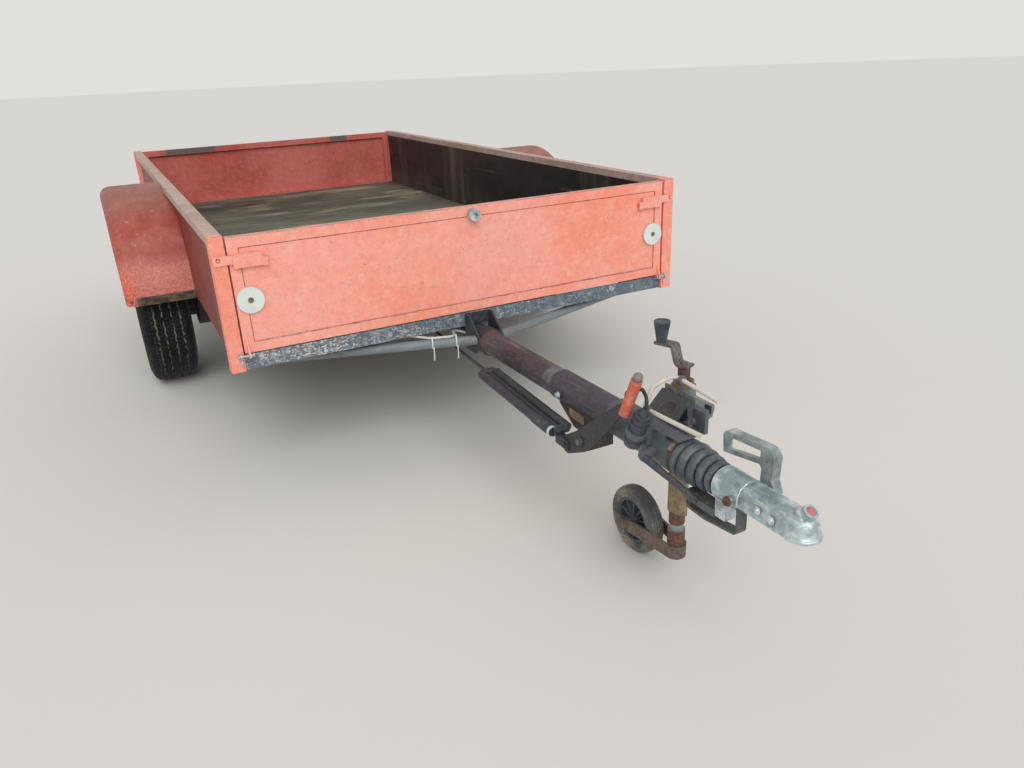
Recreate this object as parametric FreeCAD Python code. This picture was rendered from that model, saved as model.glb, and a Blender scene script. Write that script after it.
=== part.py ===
import FreeCAD, Part
import math
import os

from FreeCAD import Vector

# A light two-wheeled utility trailer that stands on its jockey wheel.
# Millimetres. +Z is up and the floor is at zero, -Y points forward along the drawbar,
# +X is the side that carries the jockey wheel.
# Every piece is drawn with Y = 0 on the front faces of the corner posts, and at export
# it moves along Y so that the origin lies under the middle of the whole trailer.
# "Ahead" is a distance forward of those faces and "behind" one rearward of them.

# Load box
box_length = 2911.0
box_width = 1560.0
post_size = 40.0
post_height = 390.0
post_overhang = 2.0
post_wall = 3.0
cap_height = 25.0
cap_wall = 2.5
lining_thickness = 12.0
skin_thickness = 5.0
floor_rise = 68.0
floor_thickness = 15.0
floor_side_gap = 0.5

# Chassis
rail_height = 120.0
rail_web = 5.0
rail_flange = 50.0
beam_height = 45.0
beam_depth = 31.0
beam_wall = 5.0
beam_setback = 9.0
cross_member_width = 40.0
cross_member_wall = 4.0
cross_member_shares = [0.086, 0.268, 0.653, 0.880]

# Gates at the front and the rear
gate_gap = 5.0
gate_depth = 26.0
gate_setback = 4.0
gate_top_drop = 6.0
gate_member = 30.0
gate_panel_setback = 2.5
gate_panel = 6.0
hinge_ahead = 6.0
hinge_pin_radius = 4.0
hinge_eye_radius = 9.0
hinge_running_gap = 0.5
hinge_eye_width = 6.0
hinge_eye_inset = 8.0
hinge_arm_height = 40.0
hinge_pin_end = 5.0

# Gate fittings
latch_length = 90.0
latch_height = 38.0
latch_proud = 12.0
latch_drop = 52.0
latch_handle = 14.0
tongue_height = 26.0
tongue_thickness = 4.0
tongue_gap = 1.0
stud_radius = 4.0
stud_length = 9.0
stud_inset = 17.0
stud_drop = 62.0
stud_clearance = 2.0
reflector_radius = 38.0
reflector_thickness = 6.0
reflector_inset = 85.0
reflector_drop = 185.0
knob_radius = 18.0
knob_length = 30.0
knob_bore = 8.0
knob_drop = 30.0

# Drawbar, which climbs a little towards the overrun device
drawbar_radius = 38.0
drawbar_wall = 4.0
drawbar_climb = 0.0212
drawbar_tail = 270.0
sleeve_start = 523.0
sleeve_thickness = 3.5
sleeve_end_gap = 1.5
nut_ahead = 585.0
bracket_plate = 6.0
bracket_reach = 95.0
bracket_collar_start = 50.0
brace_radius = 15.0
brace_wall = 3.0
brace_drop = 12.0
brace_start_ahead = 65.0
brace_end_inset = 90.0
brace_end_behind = 150.0
seat_gap = 0.3

# Overrun device, which is level
device_lift = 20.0
housing_start = 792.0
housing_end = 1030.0
housing_radius = 46.0
tube_end_ahead = 852.0
saddle_start = 905.0
saddle_end = 1012.0
saddle_nose = 1056.0
saddle_near = -40.0
saddle_wall = 5.0
cover_low_x = -6.0
cover_high_x = 41.0
cover_plane = 64.6
cover_thickness = 4.0
bail_radius = 5.0
bail_bend = 12.0
bail_near_x = -44.0
bail_far_x = 44.0
lug_thickness = 8.0
lug_margin = 5.0
lug_ahead = 962.0
shaft_radius = 25.0

# Bellows between the housing and the coupling
gaiter_end = 1164.0
gaiter_ribs = [
    # ahead, crest radius
    (1046.0, 46.0),
    (1076.0, 48.0),
    (1102.0, 45.0),
    (1126.0, 41.0),
    (1149.0, 37.0),
]
gaiter_groove = 8.0
gaiter_wall = 3.0
gaiter_cuff = 6.0

# Coupling head
coupling_rear = 1166.0
coupling_collar_end = 1238.0
coupling_length = 132.0
coupling_collar_radius = 37.0
coupling_half_width = 31.0
coupling_wall = 5.0
coupling_top = 30.0
coupling_skirt = 12.0
coupling_shoulder = 15.0
coupling_lip = 4.0
nose_radius = 37.0
dome_height = 43.0
dome_radius = 17.0
socket_radius = 25.0
socket_depth = 12.0
button_radius = 15.0
button_height = 20.0
button_tilt = 28.0
button_forward = 6.7
button_foot = 30.3
lever_wall = 4.0
lever_width = 22.0
lever_pivot_ahead = 1243.0
lever_pivot_height = 17.0
lever_pivot_radius = 6.0
foot_ahead = 1178.0

# Jockey wheel
jockey_x = 72.0
jockey_ahead = 938.0
jockey_tube_radius = 24.0
jockey_tube_wall = 4.0
jockey_tube_rise = 130.3
jockey_tube_drop = 227.7
jockey_tube_slant = 20.0
jockey_leg_radius = 19.6
jockey_leg_overlap = 200.0
jockey_band_radius = 16.5
jockey_sleeve_radius = 21.5
jockey_wheel_radius = 92.0
jockey_wheel_width = 48.0
jockey_rim_radius = 62.0
jockey_spokes = 10
jockey_trail = 158.0
fork_height = 36.0
fork_thickness = 6.0
fork_bow_radius = 20.0
fork_end_gap = 41.0
fork_pivot_radius = 10.0
clamp_front = 1010.0
clamp_rear = 905.0
stem_radius = 14.0
stem_height = 39.0
crank_turn = 20.0
crank_width = 32.0
crank_thickness = 6.0
crank_rise = 42.0
crank_reach = 72.0
crank_knob_offset = 5.5
crank_knob_radius = 19.0
crank_knob_height = 46.0

# Hand brake
brake_x = 86.0
brake_pivot_ahead = 760.0
brake_pivot_drop = 57.7
brake_bar_thickness = 8.0
brake_heel_ahead = 692.0
brake_heel_drop = 95.7
brake_heel_radius = 24.0
brake_tip_ahead = 920.0
brake_tip_rise = 89.3
brake_tip_radius = 13.0
grip_radius = 13.0
grip_length = 104.0
grip_lean = 24.5
linkage_radius = 13.0
linkage_rear = 238.0
linkage_front = 646.0
linkage_rear_drop = 56.7
linkage_front_drop = 73.7
linkage_outer_x = 106.0
linkage_inner_x = 60.0
guide_rod_radius = 5.0
guide_rod_x = 80.0
pull_rod_radius = 5.0

# Lead and plug
plug_x = 70.0
plug_ahead = 941.5
plug_rise = 10.3
plug_tilt = 24.0
plug_radius = 21.0
plug_length = 94.0
plug_clip_start = 32.0
plug_clip_height = 14.0
lead_radius = 4.0
lead_bend = 20.0
lead_hole_gap = 1.5

# Wheels and axle
torsion_beam_share = 0.412
axle_trail = 140.0
tyre_radius = 315.0
tyre_width = 190.0
tyre_wall_gap = 23.0
rim_radius = 178.0
rim_width = 140.0
rim_sheet = 4.0
torsion_beam_size = 60.0
arm_inset = 130.0
arm_width = 24.0
backplate_width = 6.0
stub_radius = 17.0
hub_running_gap = 0.05
hub_radius = 62.0
drum_radius = 105.0
drum_width = 55.0
drum_clearance = 12.0

# Fenders
fender_radius = 380.0
fender_overhang = 35.0
fender_edge_round = 40.0
fender_skirt = 24.0
fender_flange = 30.0
fender_wall = 3.0
fender_sweep = 186.0

# Rear lamps
lamp_width = 150.0
lamp_height = 80.0
lamp_depth = 55.0
lamp_inset = 90.0
lamp_setback = 2.0
lamp_drop = 6.0

# Worked out from the sizes above
half_width = box_width / 2
wall_inner_x = half_width - post_size
wall_outer_x = wall_inner_x + lining_thickness + skin_thickness
chassis_bottom = tyre_radius + drum_radius + drum_clearance
box_top = chassis_bottom - post_overhang + post_height
floor_top = chassis_bottom + floor_rise
beam_top = chassis_bottom + beam_height
rail_top = chassis_bottom + rail_height
floor_bottom = floor_top - floor_thickness
hinge_height = beam_top
gate_bottom = beam_top + gate_gap
gate_top = box_top - gate_top_drop
gate_half_width = wall_inner_x - gate_gap
drawbar_height = chassis_bottom - drawbar_radius - seat_gap
device_height = drawbar_height + device_lift
socket_ahead = coupling_collar_end + coupling_length
button_ahead = socket_ahead + button_forward
jockey_tube_top = device_height + jockey_tube_rise
jockey_tube_bottom = device_height - jockey_tube_drop
brake_pivot_height = device_height - brake_pivot_drop
brake_heel_height = device_height - brake_heel_drop
brake_tip_height = device_height + brake_tip_rise
linkage_rear_height = device_height - linkage_rear_drop
linkage_front_height = device_height - linkage_front_drop
plug_low = device_height + plug_rise
sleeve_radius = drawbar_radius + sleeve_thickness
tyre_centre_x = wall_outer_x + tyre_wall_gap + tyre_width / 2
torsion_beam_behind = box_length * torsion_beam_share
axle_behind = torsion_beam_behind + axle_trail
axle_top = chassis_bottom + rail_web
axle_half = tyre_centre_x - tyre_width / 2 - arm_inset
fender_half_width = tyre_centre_x + tyre_width / 2 + fender_overhang
fender_centre_height = box_top - fender_radius
brace_height = chassis_bottom - brace_drop - brace_radius
brace_start_x = drawbar_radius + seat_gap + bracket_plate + seat_gap
brace_end_x = half_width - brace_end_inset
brace_slope = (brace_end_behind + brace_start_ahead) / (brace_end_x - brace_start_x)
nose_tip = socket_ahead + nose_radius
rear_reach = box_length + hinge_ahead + hinge_eye_radius
origin_shift = (nose_tip - rear_reach) / 2

X = Vector(1, 0, 0)
Y = Vector(0, 1, 0)
Z = Vector(0, 0, 1)
CENTRE = Vector(0, 0, 0)


def block(x, y, z):
    """A box between the low and high values given for each axis."""
    low = Vector(min(x), min(y), min(z))
    return Part.makeBox(abs(x[1] - x[0]), abs(y[1] - y[0]), abs(z[1] - z[0]), low)


def rod(start, end, radius):
    """A round bar between two points."""
    start, end = Vector(*start), Vector(*end)
    return Part.makeCylinder(radius, (end - start).Length, start, end - start)


def taper(start, end, start_radius, end_radius):
    """A round bar between two points that narrows on its way."""
    start, end = Vector(*start), Vector(*end)
    return Part.makeCone(start_radius, end_radius, (end - start).Length, start, end - start)


def pipe(start, end, radius, wall):
    """A round tube between two points, open at both ends."""
    return rod(start, end, radius).cut(rod(start, end, radius - wall))


def plate(points, thickness):
    """A flat plate: its outline's points, and the vector of its thickness."""
    corners = [Vector(*p) for p in points]
    face = Part.Face(Part.makePolygon(corners + [corners[0]]))
    return face.extrude(Vector(*thickness))


def profile(start, steps, place):
    """A flat face: each step is a line's end, or an arc's middle and end; place makes the points."""
    first = last = place(*start)
    edges = []
    for step in steps:
        end = place(*step[-2:])
        if len(step) == 4:
            edges.append(Part.Arc(last, place(*step[:2]), end).toShape())
        else:
            edges.append(Part.LineSegment(last, end).toShape())
        last = end
    edges.append(Part.LineSegment(last, first).toShape())
    return Part.Face(Part.Wire(edges))


def bent_route(points, bend):
    """A wire through the points, its corners turned on one bend radius."""
    route = [Vector(*p) for p in points]
    edges = []
    last = route[0]
    for before, corner, after in zip(route, route[1:], route[2:]):
        back = (before - corner).normalize()
        ahead = (after - corner).normalize()
        turn = math.pi - back.getAngle(ahead)
        reach = bend * math.tan(turn / 2)
        middle_way = (back + ahead).normalize()
        start = corner + back * reach
        end = corner + ahead * reach
        middle = corner + middle_way * (bend / math.cos(turn / 2) - bend)
        edges.append(Part.LineSegment(last, start).toShape())
        edges.append(Part.Arc(start, middle, end).toShape())
        last = end
    edges.append(Part.LineSegment(last, route[-1]).toShape())
    return Part.Wire(edges)


def bent_rod(points, radius, bend):
    """A round rod along a bent route."""
    route = bent_route(points, bend)
    start, ahead = Vector(*points[0]), Vector(*points[1])
    circle = Part.Wire(Part.Circle(start, ahead - start, radius).toShape())
    return route.makePipeShell([circle], True, True)


def bent_strap(points, bend, thickness, width):
    """A flat strap along a bent route, its thickness to one side of it."""
    face = bent_route(points, bend).makeOffset2D(thickness, 0, True, True, False)
    return face.extrude(Vector(*width))


def join(shapes):
    """One solid from pieces that share a face or overlap."""
    whole = shapes[0].fuse(shapes[1:]) if len(shapes) > 1 else shapes[0]
    return whole.removeSplitter()


def group(shapes):
    """Separate solids kept together in one node."""
    solids = [solid for shape in shapes for solid in shape.Solids]
    return Part.makeCompound(solids)


def other_side(shape):
    """The same piece on the -X side."""
    return shape.mirror(CENTRE, X)


def other_end(shape):
    """The same piece at the rear end of the box."""
    return shape.mirror(Vector(0, box_length / 2, 0), Y)


def both_sides(shape):
    return group([shape, other_side(shape)])


def on_drawbar(ahead):
    """The point of the drawbar's climbing centre line at a distance ahead of the box."""
    return (0, -ahead, drawbar_height + ahead * drawbar_climb)


def on_device(ahead, radius):
    """A point above the overrun device's level centre line."""
    return Vector(0, -ahead, device_height + radius)


def save(name, shape):
    moved = shape.copy()
    moved.translate(Vector(0, origin_shift, 0))
    moved.exportStep(f"parts/{name}.step")


# Load box

def floor_panel():
    x = wall_inner_x - floor_side_gap
    end = gate_setback + gate_depth + gate_gap
    return block((-x, x), (end, box_length - end), (floor_bottom, floor_top))


def corner_posts():
    outer = block((wall_inner_x, half_width), (0, post_size), (box_top - post_height, box_top))
    hollow = block(
        (wall_inner_x + post_wall, half_width - post_wall),
        (post_wall, post_size - post_wall),
        (box_top - post_height, box_top - post_wall),
    )
    post = outer.cut(hollow)
    front = both_sides(post)
    return group([front, other_end(front)])


def side_wall():
    """Lining and outer skin as one panel; the lining reaches down to the floor."""
    y = (post_size, box_length - post_size)
    top = box_top - cap_height
    skin_x = wall_inner_x + lining_thickness
    lining = block((wall_inner_x, skin_x), y, (floor_bottom, top))
    skin = block((skin_x, wall_outer_x), y, (rail_top, top))
    return join([lining, skin])


def wall_caps():
    y = (post_size, box_length - post_size)
    low = box_top - cap_height
    outer = block((wall_inner_x, half_width), y, (low, box_top))
    hollow = block(
        (wall_inner_x + cap_wall, half_width - cap_wall), y, (low + cap_wall, box_top - cap_wall)
    )
    return both_sides(outer.cut(hollow))


# Chassis

def side_rails():
    y = (post_size, box_length - post_size)
    web = block((wall_outer_x - rail_web, wall_outer_x), y, (chassis_bottom, rail_top))
    flange = block(
        (wall_outer_x - rail_flange, wall_outer_x), y, (chassis_bottom, chassis_bottom + rail_web)
    )
    return both_sides(join([web, flange]))


def end_beam():
    x = (-wall_inner_x, wall_inner_x)
    front = beam_setback
    upright = block(x, (front, front + beam_wall), (chassis_bottom, beam_top))
    shelf = block(x, (front, front + beam_depth), (chassis_bottom, chassis_bottom + beam_wall))
    return join([upright, shelf])


def cross_members():
    """Channels across the box, one of them over the axle."""
    low = chassis_bottom + rail_web
    x = wall_outer_x - rail_web
    members = []
    for place in [box_length * share for share in cross_member_shares] + [torsion_beam_behind]:
        outer = block((-x, x), (place, place + cross_member_width), (low, floor_bottom))
        hollow = block(
            (-x, x),
            (place + cross_member_wall, place + cross_member_width),
            (low + cross_member_wall, floor_bottom - cross_member_wall),
        )
        members.append(outer.cut(hollow))
    return group(members)


# Gates

def gate():
    """A frame of square tube with a sheet set back in it."""
    x, y0 = gate_half_width, gate_setback
    outer = block((-x, x), (y0, y0 + gate_depth), (gate_bottom, gate_top))
    inner_x = x - gate_member
    window = block(
        (-inner_x, inner_x), (y0, y0 + gate_depth),
        (gate_bottom + gate_member, gate_top - gate_member),
    )
    panel_y = y0 + gate_panel_setback
    panel = block(
        (-inner_x, inner_x), (panel_y, panel_y + gate_panel),
        (gate_bottom + gate_member, gate_top - gate_member),
    )
    frame = join([outer.cut(window), panel])
    eye = join([gate_eye(1), frame])
    return join([gate_eye(-1), eye])


def gate_eye(side):
    """The hinge eye on the gate's lower corner, with its arm up the gate's face."""
    x1 = side * (gate_half_width - hinge_eye_inset)
    x0 = x1 - side * hinge_eye_width
    eye = rod((x0, -hinge_ahead, hinge_height), (x1, -hinge_ahead, hinge_height), hinge_eye_radius)
    front = -hinge_ahead - hinge_eye_radius
    arm = plate(
        [
            (x0, front, hinge_height),
            (x0, gate_setback - 2.0, hinge_height + hinge_arm_height),
            (x0, gate_setback, hinge_height + hinge_arm_height),
            (x0, gate_setback, gate_bottom),
            (x0, -hinge_ahead + hinge_eye_radius, hinge_height),
        ],
        (x1 - x0, 0, 0),
    )
    bore = rod(
        (x0, -hinge_ahead, hinge_height), (x1, -hinge_ahead, hinge_height),
        hinge_pin_radius + hinge_running_gap,
    )
    return join([eye, arm]).cut(bore)


def hinge_pins():
    """Post lugs, each with the pin that passes through the gate's eye."""
    x0 = gate_half_width - hinge_eye_inset - hinge_eye_width - hinge_pin_end
    x1 = wall_inner_x + hinge_eye_width
    x2 = x1 + hinge_eye_width
    y = -hinge_ahead
    pin = rod((x0, y, hinge_height), (x2 + hinge_pin_end, y, hinge_height), hinge_pin_radius)
    head = rod((x0 - 4.0, y, hinge_height), (x0, y, hinge_height), hinge_pin_radius + 3.0)
    eye = rod((x1, y, hinge_height), (x2, y, hinge_height), hinge_eye_radius)
    foot = block((x1, x2), (y, 0), (hinge_height - 30.0, hinge_height + hinge_eye_radius))
    post_face = block((x1, x2), (0, hinge_eye_radius), (hinge_height - 20.0, hinge_height + 20.0))
    front = both_sides(join([pin, head, eye, foot]).cut(post_face))
    return group([front, other_end(front)])


def latch():
    """A flat sleeve on the gate's face; its tongue reaches over a stud on the post."""
    high = box_top - latch_drop
    x1 = gate_half_width
    x0 = x1 - latch_length
    back = gate_setback
    front = back - latch_proud
    sleeve = block((x0, x1 - 10.0), (front, back), (high - latch_height, high))
    tongue_y = (-tongue_gap - tongue_thickness, -tongue_gap)
    tongue = block((x0 + 20.0, half_width - 3.0), tongue_y, (high - tongue_height, high))
    stud_x = half_width - stud_inset
    stud_z = box_top - stud_drop
    hole = rod((stud_x, 0, stud_z), (stud_x, -2 * stud_length, stud_z), stud_radius + stud_clearance)
    handle = block(
        (x0 - latch_handle, x0), (front, front + latch_proud / 2),
        (high - latch_height - 2.0, high - latch_handle),
    )
    return join([sleeve, tongue, handle]).cut(hole)


def latch_studs():
    stud_x = half_width - stud_inset
    stud_z = box_top - stud_drop
    front = both_sides(rod((stud_x, 0, stud_z), (stud_x, -stud_length, stud_z), stud_radius))
    return group([front, other_end(front)])


def reflectors():
    x = wall_inner_x + post_size - reflector_inset
    z = box_top - reflector_drop
    back = gate_setback - seat_gap
    disc = rod((x, back, z), (x, back - reflector_thickness, z), reflector_radius)
    panel_face = gate_setback + gate_panel_setback - seat_gap
    boss = rod((x - 12.0, back, z), (x - 12.0, panel_face, z), 8.0)
    return both_sides(join([disc, boss]))


def gate_knob():
    z = box_top - knob_drop
    tip = gate_setback - knob_length
    body = rod((0, gate_setback, z), (0, tip, z), knob_radius)
    return body.cut(rod((0, tip + 12.0, z), (0, tip, z), knob_bore))


# Drawbar

def drawbar_tube():
    """The main tube with the wider sleeve that slides into the housing."""
    tube = pipe(
        on_drawbar(-drawbar_tail), on_drawbar(tube_end_ahead), drawbar_radius, drawbar_wall
    )
    sleeve = pipe(
        on_drawbar(sleeve_start), on_drawbar(housing_start - sleeve_end_gap), sleeve_radius,
        sleeve_thickness,
    )
    return join([tube, sleeve]).cut(lead_channel())


def drawbar_bracket():
    """Cheeks and a web that hold the tube under the front beam, and its hanger further back."""
    x = drawbar_radius + seat_gap
    back = beam_setback - seat_gap
    top = beam_top - 3.0
    low = drawbar_height - drawbar_radius
    cheek = plate(
        [
            (x, back, top),
            (x, back, low),
            (x, -bracket_reach * 0.6, low),
            (x, -bracket_reach, drawbar_height - 10.0),
            (x, -bracket_reach, drawbar_height + 20.0),
            (x, -22.0, top),
        ],
        (bracket_plate, 0, 0),
    )
    web = block((-x, x), (back - bracket_plate, back), (drawbar_height + drawbar_radius + 2.0, top))
    collar = pipe(
        on_drawbar(bracket_collar_start), on_drawbar(bracket_reach), x + bracket_plate, bracket_plate
    )
    member = cross_member_shares[0] * box_length
    hanger = block(
        (-x, x), (member + 4.0, member + cross_member_width - 4.0),
        (drawbar_height + 10.0, chassis_bottom + rail_web - seat_gap),
    )
    seat = rod(on_drawbar(-drawbar_tail - cross_member_width), on_drawbar(0), drawbar_radius + seat_gap)
    return group([join([cheek, other_side(cheek), web, collar]), hanger.cut(seat)])


def v_braces():
    """A tube from each cheek out to the box, with the lug that hangs it there."""
    start = (brace_start_x, -brace_start_ahead, brace_height)
    end = (brace_end_x, brace_end_behind, brace_height)
    run_in = 2 * brace_radius
    extended = (start[0] - run_in, start[1] - run_in * brace_slope, brace_height)
    run_out = (end[0] + run_in, end[1] + run_in * brace_slope, brace_height)
    tube = pipe(extended, end, brace_radius, brace_wall)
    inner = block(
        (0.0, brace_start_x), (start[1] - 2 * run_in, start[1] + 2 * run_in),
        (brace_height - run_in, brace_height + run_in),
    )
    lug = block(
        (brace_end_x - run_in, brace_end_x + run_in),
        (brace_end_behind - 4.0, brace_end_behind + 4.0),
        (brace_height - brace_radius, chassis_bottom),
    )
    lug = lug.cut(rod(extended, run_out, brace_radius - brace_wall))
    return both_sides(join([tube.cut(inner), lug]))


# Overrun device

def housing_body(grow):
    """The barrel and the lopsided saddle on it, grown sideways by a gap."""
    barrel = rod(
        on_device(housing_start, 0), on_device(housing_end, 0), housing_radius + grow
    )
    high = cover_plane + cover_high_x
    saddle = plate(
        [
            (saddle_near - grow, -saddle_start + grow, device_height),
            (saddle_near + 4.0 - grow, -saddle_start + grow, device_height + 50.0),
            (cover_low_x, -saddle_start + grow, device_height + cover_plane + cover_low_x),
            (cover_high_x, -saddle_start + grow, device_height + high),
            (housing_radius + grow, -saddle_start + grow, device_height + high),
            (housing_radius + grow, -saddle_start + grow, device_height),
        ],
        (0, saddle_start - saddle_nose - 2 * grow, 0),
    )
    under_nose = block(
        (-2 * housing_radius, 2 * housing_radius), (-saddle_nose - 10.0, -saddle_end - grow),
        (device_height, device_height + cover_plane - 14.0),
    )
    return join([barrel, saddle.cut(under_nose)])


def saddle_hollow():
    """The space under the cover plate, closed at the rear and open at the front."""
    far = cover_high_x - saddle_wall
    floor = device_height + cover_plane - 10.0
    return plate(
        [
            (cover_low_x + 8.0, -saddle_start - 20.0, floor),
            (far, -saddle_start - 20.0, floor),
            (far, -saddle_start - 20.0, device_height + cover_plane + far),
            (cover_low_x + 8.0, -saddle_start - 20.0, device_height + cover_plane + cover_low_x + 8.0),
        ],
        (0, -(saddle_nose - saddle_start), 0),
    )


def eye_lug(x, stem_x, low, rod_height):
    """An upright lug across a bail arm, with the eye that the arm passes through."""
    half = bail_radius + lug_margin
    y = (-lug_ahead - lug_thickness, -lug_ahead)
    stem = block(stem_x, y, (low, rod_height))
    top = rod((x, y[0], rod_height), (x, y[1], rod_height), half)
    bore = rod((x, y[0], rod_height), (x, y[1], rod_height), bail_radius + 2 * seat_gap)
    return join([stem, top]).cut(bore)


def overrun_housing():
    """Barrel, saddle, bail lugs, the plug's clip and the lump under the guide bar."""
    bore = rod(
        on_drawbar(housing_start - 10.0), on_drawbar(tube_end_ahead + 1.0), drawbar_radius + seat_gap
    )
    shaft_hole = rod(
        on_device(tube_end_ahead + 20.0, 0), on_device(housing_end, 0), shaft_radius + seat_gap
    )
    near_lug = eye_lug(
        bail_near_x, (bail_near_x - 8.0, saddle_near + 4.0), device_height,
        bail_near_height(lug_ahead),
    )
    far_lug = eye_lug(
        bail_far_x, (cover_high_x + seat_gap, housing_radius), device_height + cover_plane,
        bail_far_height(lug_ahead),
    )
    far = cover_high_x - saddle_wall
    stud_place = (-saddle_end - 6.0, device_height + cover_plane + 4.0)
    stud = rod((far - 24.0, *stud_place), (far, *stud_place), 5.5)
    nut = rod((far - 11.0, *stud_place), (far, *stud_place), 9.5)
    bar_x, bar_y, bar_z = bar_line()[0]
    boss = rod((-shaft_radius - 5.0, bar_y + 20.0, bar_z), (bar_x, bar_y + 6.0, bar_z), 13.0)
    body = join([housing_body(0.0), near_lug, far_lug, boss, plug_clip()])
    body = body.cut(saddle_hollow())
    body = join([body, stud, nut])
    return body.cut(bore).cut(shaft_hole).cut(lead_channel()).cut(plug_space())


def housing_cover():
    """A plate on the saddle's slope, cut off at an angle in front, with a three-sided window."""
    def place(along, ahead):
        # along the slope, measured sideways from the middle of the device
        return Vector(along, -ahead, device_height + cover_plane + along + seat_gap)

    outline = [
        (cover_low_x + 1.0, saddle_start + 1.0),
        (cover_high_x, saddle_start + 1.0),
        (cover_high_x, saddle_end),
        (cover_low_x + 8.0, saddle_nose),
        (cover_low_x + 1.0, saddle_nose),
    ]
    window = [
        (cover_high_x - 9.0, saddle_end - 8.0),
        (cover_low_x + 9.0, saddle_end - 8.0),
        (cover_low_x + 9.0, saddle_end + 32.0),
    ]
    up = Vector(-1, 0, 1).normalize() * cover_thickness
    cover = plate([place(*corner) for corner in outline], up)
    return cover.cut(plate([place(*corner) for corner in window], up))


def draw_shaft():
    return rod(
        on_device(tube_end_ahead + 22.0, 0), on_device(coupling_collar_end - 30.0, 0), shaft_radius
    )


def gaiter():
    """A bellows that narrows towards the coupling: round ribs outside, a plain cone inside."""
    grooves = [
        ((a0 + a1) / 2, min(r0, r1) - gaiter_groove)
        for (a0, r0), (a1, r1) in zip(gaiter_ribs, gaiter_ribs[1:])
    ]
    first = (housing_end + gaiter_cuff, grooves[0][1])
    last = (gaiter_end - gaiter_cuff, grooves[-1][1])
    steps = [first]
    for rib, groove in zip(gaiter_ribs, grooves + [last]):
        steps.append(rib + groove)
    steps.append((gaiter_end, last[1]))
    steps.append((gaiter_end, last[1] - gaiter_wall))
    steps.append((housing_end + seat_gap, first[1] - gaiter_wall))
    face = profile((housing_end + seat_gap, first[1]), steps, on_device)
    return face.revolve(on_device(0, 0), Y, 360.0)


# Coupling head

def coupling_section(ahead, skirt):
    """The coupling's outline across: an arch with round shoulders and a small lip below."""
    w = coupling_half_width
    s = coupling_shoulder
    lip = w + coupling_lip
    cut = s * (1.0 - math.sqrt(0.5))

    def place(x, height):
        return Vector(x, -ahead, device_height + height)

    top = coupling_top
    steps = [
        (-lip, -skirt + 4.0), (-w, -skirt + 9.0), (-w, top - s),
        (-w + cut, top - cut, -w + s, top), (w - s, top), (w - cut, top - cut, w, top - s),
        (w, -skirt + 9.0), (lip, -skirt + 4.0), (lip, -skirt),
    ]
    return profile((-lip, -skirt), steps, place)


def coupling_nose(skirt):
    """The dome over the ball, turned round the socket's upright axis."""
    def place(radius, height):
        return Vector(0, -socket_ahead + radius, device_height + height)

    r = nose_radius
    steps = [
        (r, -skirt), (r + 1.0, -skirt + 4.0, r - 2.0, -skirt + 8.0),
        (r - 5.5, 4.0, r - 6.0, 12.0), (r - 9.0, 22.0, dome_radius + 5.0, coupling_top - 1.0),
        (dome_radius + 1.0, coupling_top + 2.0, dome_radius, coupling_top + 6.0),
        (dome_radius - 3.0, dome_height - 2.0, dome_radius - 8.0, dome_height), (0.0, dome_height),
    ]
    return profile((0.0, -skirt), steps, place).revolve(Vector(0, -socket_ahead, 0), Z, 360.0)


def ball_room():
    """The socket's straight mouth and its round top."""
    base = Vector(0, -socket_ahead, device_height - coupling_skirt)
    mouth = Part.makeCylinder(socket_radius, socket_depth, base, Z)
    top = Part.makeSphere(socket_radius, base + Z * socket_depth, Z, 0.0, 90.0, 360.0)
    return mouth.fuse(top)


def coupling_head():
    """A collar on the draw shaft, an arched channel, and the dome over the ball socket."""
    collar_bore = coupling_collar_radius - shaft_radius - seat_gap
    collar = pipe(
        on_device(coupling_rear, 0), on_device(coupling_collar_end, 0), coupling_collar_radius,
        collar_bore,
    )
    start = coupling_collar_end - 6.0
    channel = coupling_section(start, coupling_skirt).extrude(Vector(0, start - socket_ahead, 0))
    w = coupling_half_width - coupling_wall
    high = coupling_top - coupling_wall
    inside_start = coupling_collar_end + 4.0
    inside_length = socket_ahead - socket_radius - 8.0 - inside_start
    inside = plate(
        [
            on_device(inside_start, height) + X * x
            for x, height in ((-w, -coupling_skirt), (-w, high - 10.0), (-w + 10.0, high),
                              (w - 10.0, high), (w, high - 10.0), (w, -coupling_skirt))
        ],
        (0, -inside_length, 0),
    )
    shaft_room = rod(
        on_device(coupling_rear, 0), on_device(coupling_collar_end, 0), shaft_radius + 2.0
    )
    foot = block(
        (-34.0, -6.0), (-foot_ahead - 30.0, -foot_ahead), (device_height - 62.0, device_height - 20.0)
    )
    boss_x = -coupling_half_width - 3.0
    bosses = [
        rod((boss_x, -ahead, device_height + height), (0, -ahead, device_height + height), radius)
        for ahead, height, radius in ((socket_ahead - 81.0, 8.0, 7.0), (socket_ahead - 45.0, 5.0, 7.5))
    ]
    bolt_x = -coupling_collar_radius - 7.0
    bolt = rod((bolt_x, -1222.0, device_height - 3.0), (0, -1222.0, device_height - 3.0), 7.0)
    pivot_place = (-lever_pivot_ahead, device_height + lever_pivot_height)
    pivot = rod(
        (coupling_half_width - 3.0, *pivot_place),
        (coupling_half_width + lever_width / 2, *pivot_place), lever_pivot_radius,
    )
    lever_pad = block(
        (coupling_half_width, 2 * coupling_half_width), (-coupling_collar_end, -coupling_rear - 50.0),
        (device_height - coupling_collar_radius, device_height + coupling_collar_radius),
    )
    body = join([collar.cut(lever_pad), channel, coupling_nose(coupling_skirt)] + bosses)
    body = join([body, foot.cut(shaft_room), bolt.cut(shaft_room)])
    return join([body.cut(inside), pivot]).cut(ball_room()).cut(button_body(0.0))


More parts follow.
